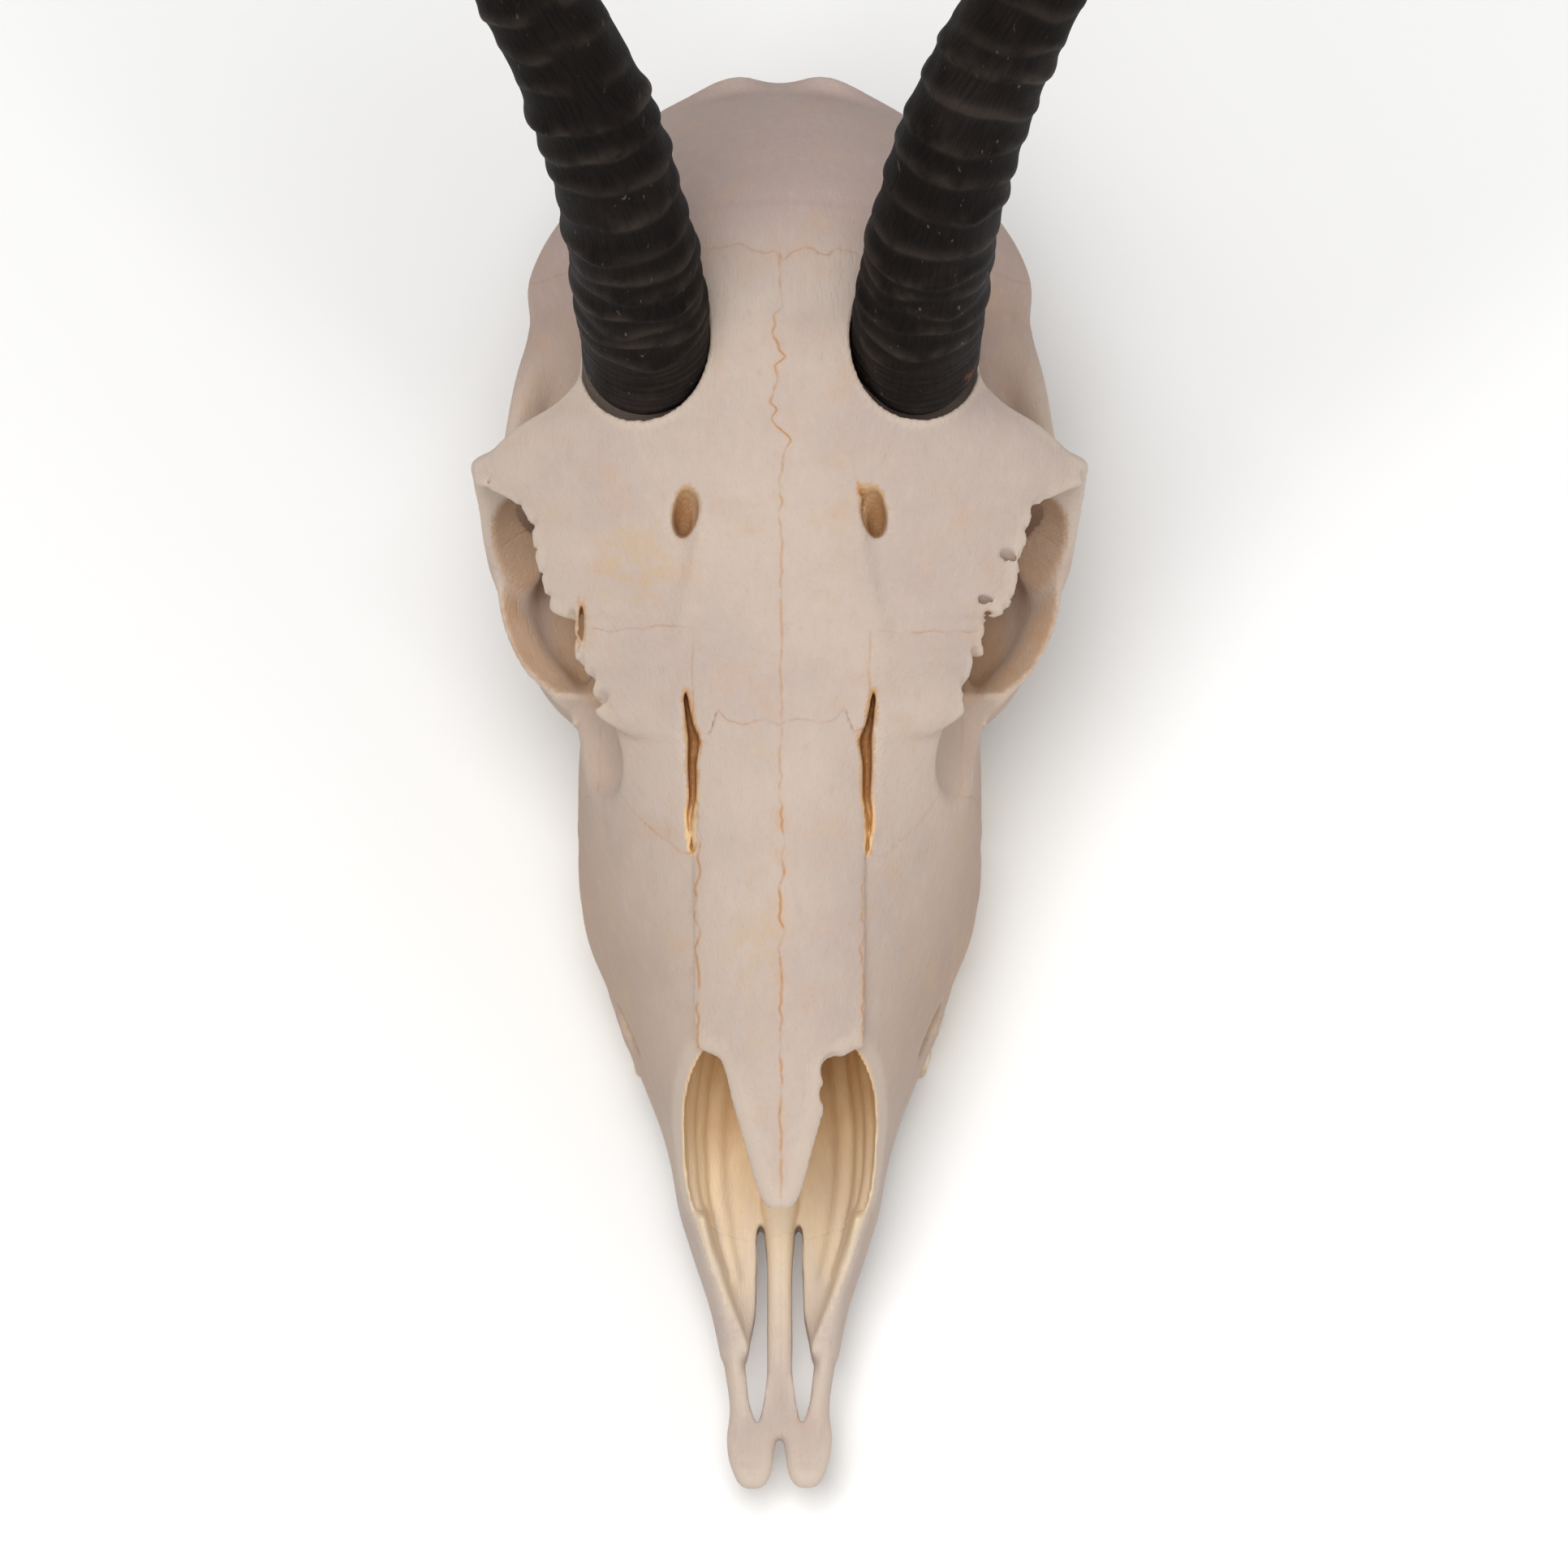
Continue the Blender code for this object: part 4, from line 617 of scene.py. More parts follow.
def weather(clay):
    """What time did to the thin edges, and the uneven skin of the bone."""
    random = np.random.default_rng(21)
    edge = [(row[0], row[2], row[1] - row[8]) for row in BROW[1:13]]
    for side, wear, steps in ((1.0, 1.0, 15), (-1.0, 0.55, 11)):
        for s in np.linspace(137.0, 174.5, steps) + random.uniform(-0.8, 0.8, steps):
            x, h = (float(np.interp(s, [row[0] for row in edge], [row[k] for row in edge])) for k in (1, 2))
            size = wear * random.uniform(0.5, 1.5)
            radii = (size, size * random.uniform(0.5, 1.0), 4.5)
            turn = (-20.0, 0.0, random.uniform(-40.0, 40.0))
            clay.egg(off_face(side * (x + 0.35 * size), s, h), radii, 0.35, turn, carve=True)
    # The slit and steps where the brow meets the tear bone, and the broken corner and nasal edge on the left
    for x, s, h, wide, long, turn in (
            (-33.9, 150.6, 23.0, 0.35, 2.3, 0.0), (-34.6, 144.0, 22.5, 1.3, 1.0, 20.0),
            (-31.0, 138.6, 22.5, 1.6, 0.8, -20.0), (34.2, 152.9, 23.0, 2.6, 0.7, 14.0),
            (33.6, 145.0, 22.5, 1.8, 0.9, -30.0), (38.6, 161.7, 24.0, 1.5, 0.7, 24.0),
            (52.6, 176.6, 20.0, 1.6, 1.2, 0.0), (52.2, 171.6, 20.0, 1.2, 1.4, 20.0),
            (50.4, 166.6, 16.0, 1.2, 0.9, -20.0), (9.4, 75.0, 29.0, 2.6, 2.7, 20.0),
            (7.8, 71.4, 29.0, 1.2, 1.6, 0.0), (12.6, 77.0, 28.0, 1.2, 2.0, 0.0),
            (13.6, 172.4, 34.0, 0.5, 0.5, 0.0)):
        tint = 1.0 if wide < 0.6 else 0.0
        clay.egg(off_face(x, s, h), (wide, long, 4.5), 0.35, (-20.0, 0.0, turn), carve=True, tint=tint)
    clay.roughen(9.0, 0.2, 3)
    clay.roughen(3.0, 0.06, 4)


def within(outline, u, z):
    """How far each place lies outside a convex outline seen from the side."""
    turn = sum(a[0] * b[1] - b[0] * a[1] for a, b in zip(outline, outline[1:] + outline[:1]))
    furthest = None
    for (u0, z0), (u1, z1) in zip(outline, outline[1:] + outline[:1]):
        length = math.copysign(math.hypot(u1 - u0, z1 - z0), turn)
        away = (u - u0) * ((z1 - z0) / length) - (z - z0) * ((u1 - u0) / length)
        furthest = away if furthest is None else np.maximum(furthest, away)
    return furthest


def bend(value, size, amount, seed):
    """How far a suture wanders: wide bends with small teeth on them."""
    return amount * (0.65 * wander(value, 3.0 * size, seed) + 0.5 * wander(value, size, seed + 1))


def midline(u, z):
    """Where left and right meet: tangled on the forehead, finer along the nose, straight on the floor."""
    s = u * COS + z * SIN
    swing = np.interp(s, [0, 46, 54, 100, 118, 135, 150, 166, 178, 182, 203, 207, 240],
                      [0, 0, 0.15, 0.5, 0.5, 0.15, 0.12, 0.4, 0.6, 1.5, 1.3, 0.3, 0.3]).astype(np.float32)
    swing *= 0.2 + 0.8 * np.clip((z - 28.0) / 6.0, 0.0, 1.0)
    return swing * (0.55 * wander(s, 2.6, 11) + 0.75 * wander(s, 1.1, 12))


BONE_ORDER = ("nasal", "premaxilla", "zygomatic", "lacrimal", "frontal", "temporal", "braincase", "maxilla")


def bone_shares(x, u, z, side):
    """How far each place lies outside the share of each bone of one side, in the order of parting."""
    away = side * (x - midline(u, z)) if side else np.abs(x)
    seed = 100 if side < 0 else 0
    s, h = u * COS + z * SIN, z * COS - u * SIN
    shares = {}
    naso = np.interp(away, [0.0, 3.0, 6.5, 9.2, 10.8, 12.2, 14.4],
                     [134.0, 134.8, 134.0, 134.6, 136.6, 132.4, 133.4]).astype(np.float32)
    shares["nasal"] = np.maximum(np.maximum(away - 14.1 - bend(s, 2.5, 0.25, seed + 1), 26.4 - h),
                                 s - naso - bend(away, 1.6, 0.4, seed + 3))
    shares["premaxilla"] = within([(-60.0, -5.0), (37.0, -5.0), (41.0, 10.0), (53.0, 44.0), (56.0, 60.0),
                                   (-60.0, 60.0)], u + bend(z, 2.5, 0.7, seed + 5), z)
    shares["zygomatic"] = np.maximum(31.0 - away, within(
        [(111.0, 51.0), (113.0, 38.0), (124.0, 28.0), (161.0, 30.0), (164.0, 58.0), (122.0, 58.0)],
        u + bend(z, 2.5, 0.8, 7), z + bend(u, 2.5, 0.8, 9)))
    front = np.interp(away, [13.8, 15.4, 16.1, 18.2, 18.7, 20.2, 22.3, 23.4, 26.0],
                      [108.2, 108.0, 105.9, 105.9, 111.5, 114.6, 113.5, 111.0, 109.0]).astype(np.float32)
    front = front + (0.0 if side > 0 else 0.6) * wander(away, 1.5, 31)
    shares["lacrimal"] = np.maximum(np.maximum(15.0 - away, front - s), within(
        [(96.0, 95.0), (96.0, 62.0), (113.0, 55.0), (139.0, 55.0), (137.5, 60.0), (124.8, 95.0)],
        u + bend(away, 2.0, 0.8, seed + 11), z + bend(u, 2.5, 0.8, seed + 13)))
    round_the_arch = np.abs(x) - z + np.where(x < 0.0, 400.0, 0.0)
    tangle = np.interp(np.abs(x), [0.0, 10.0, 16.0], [1.0, 1.0, 0.6]).astype(np.float32)
    forward = u + tangle * bend(round_the_arch, 1.0, 1.3, 15) + 2.0 * np.exp(-(x / 2.4) ** 2)
    coronal = np.interp(z, [36.5, 42.0, 84.0, 96.0, 126.0],
                        [147.0, 151.0, 187.0, 190.8, 189.2]).astype(np.float32)
    slant = np.interp(z, [42.0, 78.0, 84.0, 96.0], [0.76, 0.76, 0.9, 1.0]).astype(np.float32)
    behind = (forward - coronal) * slant
    shares["frontal"] = np.maximum(np.maximum(behind, 129.5 - s), (147.0 - u) * 0.69 + (36.5 - z) * 0.72)
    shares["temporal"] = np.maximum(22.0 - away, within(
        [(158.0, 34.0), (158.0, 56.0), (182.0, 60.0), (206.0, 60.0), (206.0, 34.0)],
        u + bend(z, 2.0, 0.7, 17), z + bend(u, 2.0, 0.9, 19)))
    shares["braincase"] = np.maximum(-behind, 145.0 + bend(x, 2.0, 0.6, 23) - u)
    shares["maxilla"] = -50.0
    return shares, away


def bone_field(name, side, place):
    """How far each place lies outside one bone's share of the skull, less those of the bones before it."""
    shares, away = bone_shares(*place, side)
    outside = shares[name]
    for earlier in BONE_ORDER[:BONE_ORDER.index(name)]:
        outside = np.maximum(outside, -shares[earlier])
    return np.maximum(outside, -away) if side else outside


def box_in_clay(node):
    """A bone's box as x, u and z, with room round it."""
    low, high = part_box(node)
    shift = Vector((0.0, -NOSE_Y, TABLE_Z * MM))
    return [[value / MM + grow for value in corner + shift] for corner, grow in ((low, -6.0), (high, 7.0))]


def crowding(clay, reach):
    """The share of bone in a box round each point: half on flat bone, more in hollows, less on edges."""
    share = np.clip(0.5 - clay.depth / (2.0 * GRAIN), 0.0, 1.0)
    width = max(1, round(reach / GRAIN))
    for axis in range(3):
        total = np.cumsum(share, axis=axis, dtype=np.float32)
        place = np.arange(share.shape[axis])
        ahead = np.take(total, np.minimum(place + width, place[-1]), axis=axis)
        behind = np.take(total, np.maximum(place - width - 1, 0), axis=axis)
        share = (ahead - behind) / (2.0 * width + 1.0)
    return share


def placed(name, data):
    """A new object in the scene."""
    thing = bpy.data.objects.new(name, data)
    bpy.context.scene.collection.objects.link(thing)
    return thing


def mesh_of(name, points, faces):
    """A smooth mesh object from points in millimetres and faces of four corners."""
    mesh = bpy.data.meshes.new(name)
    mesh.vertices.add(len(points))
    places = (points - [0.0, 0.0, TABLE_Z]) * MM + [0.0, NOSE_Y, 0.0]
    mesh.vertices.foreach_set("co", places.astype(np.float32).ravel())
    mesh.loops.add(4 * len(faces))
    mesh.loops.foreach_set("vertex_index", faces.astype(np.int32).ravel())
    mesh.polygons.add(len(faces))
    mesh.polygons.foreach_set("loop_start", np.arange(0, 4 * len(faces), 4, dtype=np.int32))
    mesh.update()
    mesh.shade_smooth()
    return placed(name, mesh)


def mark(piece, name, values):
    """Store one number for every point of a piece, for its material to read."""
    attribute = piece.data.attributes.new(name, "FLOAT", "POINT")
    attribute.data.foreach_set("value", np.asarray(values, dtype=np.float32))


def seam_stain(x, u, z):
    """How brown the sutures are at each place: strongest on the forehead, and faint on the cheeks."""
    s, h = u * COS + z * SIN, z * COS - u * SIN
    near = np.exp(-(x / 4.0) ** 2)
    middle = near * np.interp(s, [0, 50, 60, 66, 84, 92, 118, 128, 150, 176, 182, 200, 204, 215],
                              [0.1, 0.2, 0.7, 0.9, 0.7, 1.0, 1.0, 0.35, 0.5, 0.5, 0.9, 0.9, 0.35, 0.0])
    beside = np.exp(-((np.abs(x) - 14.4) / 1.6) ** 2)
    beside = beside * np.interp(s, [72, 78, 130, 140, 150], [0.9, 0.9, 1.0, 0.5, 0.0])
    crown = np.clip(1.0 - np.abs(s - 210.0) / 6.0, 0.0, 1.0) * np.clip((20.0 - np.abs(x)) / 4.0, 0.0, 1.0)
    upper = np.maximum(np.maximum(middle, beside), np.maximum(0.8 * crown, 0.3))
    return np.where(h > 20.0, upper, np.where(u < 60.0, 0.04, 0.2))


def bone_piece(clay, crowd, node):
    """One bone parted from the clay, with the marks that its colours follow."""
    kind, _, way = node.partition("_")
    side = {"left": 1.0, "right": -1.0, "": 0.0}[way]
    cut, place = clay.window(*box_in_clay(node))
    first = np.array([part.start for part in cut])
    field = np.maximum(clay.depth[cut], bone_field(kind, side, place) + 0.5 * SEAM)
    for axis in range(3):
        edge = [slice(None)] * 3
        for end in (0, -1):
            edge[axis] = end
            field[tuple(edge)] = np.maximum(field[tuple(edge)], 0.5 * GRAIN)
    grid = openvdb.FloatGrid(9.0)
    grid.copyFromArray(np.ascontiguousarray(field, dtype=np.float32))
    points, _, quads = grid.convertToPolygons(isovalue=0.0, adaptivity=0.0)
    cell = tuple(np.rint(points).astype(int).T)
    places = ((points + first) * GRAIN + clay.low).astype(np.float32)
    piece = mesh_of(node + "_bone", places, quads[:, ::-1])
    mark(piece, "seam", bone_field(kind, side, places.T))
    mark(piece, "crowd", crowd[cut][cell])
    mark(piece, "shade", clay.shade[cut][cell])
    mark(piece, "stain", seam_stain(*places.T))
    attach(piece, "root")
    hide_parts(node)
    return piece


HORN_NODES = ("horn_left", "horn_right")
BONE_NODES = sorted(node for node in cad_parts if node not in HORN_NODES)

clay = both_halves(one_half())
weather(clay)
crowd = crowding(clay, 3.0)
bones = [bone_piece(clay, crowd, node) for node in BONE_NODES]


def ring_faces(rings, sides):
    """The faces of a wall made of rings of points."""
    index = np.arange(rings * sides).reshape(rings, sides)
    a, b = index[:-1], index[1:]
    return np.stack([a, np.roll(a, -1, axis=1), np.roll(b, -1, axis=1), b], axis=-1).reshape(-1, 4)


def cap_faces(ring, sides, point):
    """The faces that close one ring of a wall over a point in its middle."""
    rim = ring * sides + np.arange(sides)
    corners = [rim[::2], np.roll(rim, -1)[::2], np.roll(rim, -2)[::2], np.full(sides // 2, point)]
    return np.stack(corners, axis=1)


def tooth_outline(angle, length, half_width, lobes):
    """The rim of a crown: rounded lobes towards the tongue, upright ribs towards the cheek."""
    c, s = np.cos(angle), np.sin(angle)
    along = 0.5 * length * np.sign(c) * np.abs(c) ** 0.62
    across = half_width * np.sign(s) * np.abs(s) ** 0.72
    share = along / length
    cheek = s > 0.0
    if lobes == 2:
        cleft = np.exp(-(share / 0.07) ** 2)
        ribs = 0.16 * np.exp(-(share / 0.05) ** 2) + 0.13 * np.exp(-((share + 0.44) / 0.05) ** 2)
        ribs += (0.1 * np.exp(-((share - 0.44) / 0.05) ** 2)
                 + 0.05 * np.exp(-((np.abs(share) - 0.24) / 0.05) ** 2))
        across = np.where(cheek, across * (0.9 + ribs), across * (1.0 - 0.42 * cleft))
    else:
        ribs = 0.1 * np.exp(-(share / 0.09) ** 2) + 0.12 * np.exp(-((np.abs(share) - 0.42) / 0.07) ** 2)
        across = np.where(cheek, across * (0.92 + ribs), across)
    return along, across


def tooth_mesh(u, x, length, half_width, lobes):
    """Points, faces and marks of one cheek tooth, from its root in the jaw to its grinding face."""
    sides = 96
    angle = np.arange(sides) * (math.tau / sides)
    along, across = tooth_outline(angle, length, half_width, lobes)
    levels = np.append(np.linspace(PALATE_Z + 4.0, TABLE_Z + 1.0, 22), [TABLE_Z + 0.45, TABLE_Z + 0.15])
    points, rank = [], []
    for z in levels:
        high = (z - TABLE_Z) / (PALATE_Z - TABLE_Z)
        scale = 0.9 + 0.12 * math.sin(math.pi * min(high, 1.0) ** 0.7) - 0.05 * max(0.0, high - 0.9)
        scale -= 0.05 * max(0.0, (TABLE_Z + 1.0 - z))
        snug = 0.93 + 0.065 * math.sin(0.5 * math.pi * min(1.0, 1.25 - high)) if high < 1.25 else 0.93
        points.append(np.stack([across * scale, along * snug, np.full(sides, z)], axis=1))
        rank.append(np.full(sides, high))
    rim = points[-1]
    rings = 12
    for k in range(1, rings):
        inner = rim * (1.0 - k / rings)
        inner[:, 2] = rim[:, 2]
        points.append(inner)
        rank.append(np.full(sides, 0.0))
    grid = np.concatenate(points)
    centre = np.array([[0.0, 0.0, rim[0, 2]]])
    flat = np.arange(len(grid)) >= (len(levels) - 1) * sides
    p, q = grid[:, 0] / half_width, grid[:, 1] / length
    if lobes == 2:
        crescents = [np.hypot((q - middle) / 0.2, (p + 0.1 + 1.1 * ((q - middle) / 0.24) ** 2 - 0.25) / 0.34)
                     for middle in (-0.24, 0.24)]
    else:
        crescents = [np.hypot(q / 0.26, (p - 0.05) / 0.42)]
    hollow = sum(np.exp(-(crescent / 0.55) ** 4) for crescent in crescents)
    enamel = sum(np.exp(-((crescent - 0.95) / 0.22) ** 2) for crescent in crescents)
    edge = np.concatenate([np.full(len(levels) * sides, 1.0)] + [np.full(sides, 1.0 - k / rings)
                                                                 for k in range(1, rings)])
    enamel += np.exp(-((edge - 0.95) / 0.07) ** 2)
    lift = np.where(flat, 0.55 - 0.5 * np.clip(enamel, 0.0, 1.0) + 1.0 * hollow, 0.0)
    grid[:, 2] += lift * np.where(edge > 0.99, 0.0, 1.0)
    grid = np.concatenate([grid, centre + [[0.0, 0.0, 0.5]]])
    faces = np.concatenate([ring_faces(len(points), sides), cap_faces(len(points) - 1, sides, len(grid) - 1)])
    stain = np.where(flat, hollow + 0.5 * (1.0 - np.clip(enamel, 0.0, 1.0)), 0.0)
    height = np.concatenate(rank)
    return grid + [x, u, 0.0], faces, np.append(stain, 1.0), np.append(height, 0.0)


def teeth_piece(way):
    """The row of three premolars and three molars of one side, rooted in the jaw."""
    side = 1.0 if way == "left" else -1.0
    grids, quads, stains, heights = [], [], [], []
    start, count = TOOTH_FRONT, 0
    for number, (length, half_width) in enumerate(zip(TOOTH_LENGTHS, TOOTH_HALF_WIDTHS)):
        u = start + 0.5 * length
        x = float(curve_through(TOOTH_LINE, u)[0])
        grid, faces, stain, height = tooth_mesh(u, x, length - 0.2, half_width, 2 if number > 2 else 1)
        grid[:, 0] *= side
        grids.append(grid)
        quads.append((faces if side > 0 else faces[:, ::-1]) + count)
        stains.append(stain)
        heights.append(height)
        count += len(grid)
        start += length
    piece = mesh_of("teeth_" + way, np.concatenate(grids), np.concatenate(quads))
    mark(piece, "stain", np.concatenate(stains))
    mark(piece, "height", np.concatenate(heights))
    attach(piece, "root")
    return piece


def horn_rings(t, angle, seed):
    """The relief of the horn's rings, and how near a crest each place is."""
    random = np.random.default_rng(seed)
    crests = [-3.0]
    while crests[-1] < 9.0:
        crests.append(crests[-1] + random.uniform(1.3, 1.9))
    while crests[-1] < 34.0:
        crests.append(crests[-1] + random.uniform(3.2, 5.2))
    while crests[-1] < 172.0:
        crests.append(crests[-1] + random.uniform(5.4, 8.4))
    relief, crest = np.zeros_like(t), np.zeros_like(t)
    around = 20.0 + 11.0 * np.cos(angle)
    for k, middle in enumerate(crests):
        fine = middle < 9.0
        height = 0.2 if fine else random.uniform(0.45, 1.0) * np.clip((210.0 - middle) / 150.0, 0.2, 1.0)
        strength = np.clip(0.72 + 0.34 * wander(around + 3.0 * np.sin(angle), 5.0, seed + 40 + k)
                           + 0.22 * np.cos(angle - 2.2), 0.12, 1.25)
        place = middle + 2.0 * np.sin(angle + 0.5)
        place = place + (0.25 if fine else 0.8) * wander(around, 4.5, seed + 90 + k)
        away = t - place
        steep = np.where(away < 0.0, 0.45 if fine else 0.75, 0.55 if fine else 1.5)
        ridge = np.exp(-(away / steep) ** 2)
        swell = np.exp(-((away - 0.6) / 2.6) ** 2)
        relief += height * strength * (0.6 * ridge + (0.0 if fine else 0.5) * swell)
        crest = np.maximum(crest, ridge * strength * (0.5 if fine else 1.0))
    return relief - 0.2, np.clip(crest, 0.0, 1.0)


def horn_piece(way):
    """One horn sheath: a swept cone of keratin with uneven rings, pits and a plain tip."""
    side = 1.0 if way == "left" else -1.0
    seed = 5 if way == "left" else 6
    coarse = 1
    sides = 160 // coarse
    t = np.concatenate([np.linspace(-HORN_SINK, 184.0, 520 // coarse),
                        np.linspace(184.6, HORN_LENGTH - 0.2, 90 // coarse)])
    _, _, across, deep = (np.asarray(c, dtype=np.float64) for c in curve_through(HORN_LINE, np.maximum(t, 0)))
    fine = np.arange(-6.0, HORN_LENGTH + 1.0, 0.25)
    headings = np.array([horn_heading(value) for value in fine])
    track = np.cumsum(headings * 0.25, axis=0)
    track += np.array(HORN_BASE) - track[np.argmin(np.abs(fine))]
    middle = np.stack([np.interp(t, fine, track[:, k]) for k in range(3)], axis=1)
    forward = np.stack([np.interp(t, fine, headings[:, k]) for k in range(3)], axis=1)
    forward /= np.linalg.norm(forward, axis=1)[:, None]
    front_way = np.array([0.0, -COS, -SIN]) - forward * (forward @ [0.0, -COS, -SIN])[:, None]
    front_way /= np.linalg.norm(front_way, axis=1)[:, None]
    across_way = np.cross(forward, front_way)
    turn = np.arange(sides) * (math.tau / sides)
    c, s = np.cos(turn)[None, :], np.sin(turn)[None, :]
    whole_t, whole_turn = np.broadcast_arrays(t[:, None], turn[None, :])
    relief, crest = horn_rings(whole_t, whole_turn, seed)
    plain = np.clip((whole_t - 160.0) / 30.0, 0.0, 1.0)
    pits = (wander(whole_t * 0.9 + 7.0 * c, 4.0, seed + 20) * wander(9.0 * s + whole_t * 0.3, 2.6, seed + 21))
    relief = relief * (1.0 - plain) + 0.3 * pits * (1.0 - 0.8 * plain)
    relief = relief * np.clip(deep / 5.0, 0.15, 1.0)[:, None]
    relief -= 0.5 * np.exp(-((whole_t + HORN_SINK) / 1.0) ** 2)
    points = (middle[:, None, :] + across_way[:, None, :] * ((across[:, None] + relief) * c)[..., None]
              + front_way[:, None, :] * ((deep[:, None] + relief) * s)[..., None]).reshape(-1, 3)
    tip, root = middle[-1] + forward[-1] * 0.4, middle[0]
    points = np.concatenate([points, [tip, root]])
    faces = np.concatenate([ring_faces(len(t), sides), cap_faces(len(t) - 1, sides, len(points) - 2),
                            cap_faces(0, sides, len(points) - 1)[:, [2, 1, 0, 3]]])
    points[:, 0] *= side
    if side < 0:
        faces = faces[:, ::-1]
    piece = mesh_of("horn_sheath_" + way, points, faces)
    for name, values in (("crest", crest * (1.0 - plain)), ("along", whole_t),
                         ("round_x", 10.0 * np.cos(whole_turn)), ("round_y", 10.0 * np.sin(whole_turn))):
        mark(piece, name, np.append(values.ravel(), [0.0, 0.0]))
    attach(piece, "root")
    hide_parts("horn_" + way)
    return piece


teeth = [teeth_piece(way) for way in ("left", "right")]
horns = [horn_piece(way) for way in ("left", "right")]


def colour(code):
    """An sRGB hex colour as the linear values that a shader takes."""
    values = [int(code[k:k + 2], 16) / 255.0 for k in (1, 3, 5)]
    return (*(v / 12.92 if v <= 0.04045 else ((v + 0.055) / 1.055) ** 2.4 for v in values), 1.0)


def per_mm(size):
    """The scale of a grain whose patches are a size in millimetres apart."""
    return 1.0 / (size * MM)


def blank(name):
    """A new material with its tree and its shader."""
    finish = bpy.data.materials.new(name)
    finish.use_nodes = True
    return finish, finish.node_tree, finish.node_tree.nodes["Principled BSDF"]


def add(tree, kind, give, inputs, **settings):
    """Add a shader node with its settings, set or link its inputs, and give back one of its outputs."""
    node = tree.nodes.new("ShaderNode" + kind)
    for name, value in settings.items():
        setattr(node, name, value)
    for key, value in inputs.items():
        if isinstance(value, bpy.types.NodeSocket):
            tree.links.new(value, node.inputs[key])
        else:
            node.inputs[key].default_value = value
    return node.outputs[give]


def mask(tree, *spans):
    """The product of some spans.

    Each is a value as it is, or a value, where a smooth step on it starts and ends, and what it gives there.
    """
    product = 1.0
    for span in spans:
        if isinstance(span, tuple):
            value, start, end, low, high = span
            ends = {"From Min": start, "From Max": end, "To Min": low, "To Max": high}
            span = add(tree, "MapRange", "Result", {"Value": value, **ends}, interpolation_type="SMOOTHSTEP")
        product = add(tree, "Math", "Value", {0: span, 1: product}, operation="MULTIPLY")
    return product


def coat(tree, under, over, *spans):
    """A colour laid over another one where the mask of its spans shows it."""
    over = colour(over) if isinstance(over, str) else over
    return add(tree, "Mix", "Result", {"Factor": mask(tree, *spans), "A": under, "B": over}, data_type="RGBA")


def from_nose(u):
    """A distance behind the tip of the nose as a place along the model."""
    return u * MM + NOSE_Y


def round_spot(tree, place, centre, reach):
    """A span that is one near a centre, given as x, u and z, and fades to nothing at a reach."""
    x, u, z = centre
    middle = (x * MM, from_nose(u), z * MM)
    away = add(tree, "VectorMath", "Value", {0: place, 1: middle}, operation="DISTANCE")
    return away, reach * MM, 0.35 * reach * MM, 0, 1


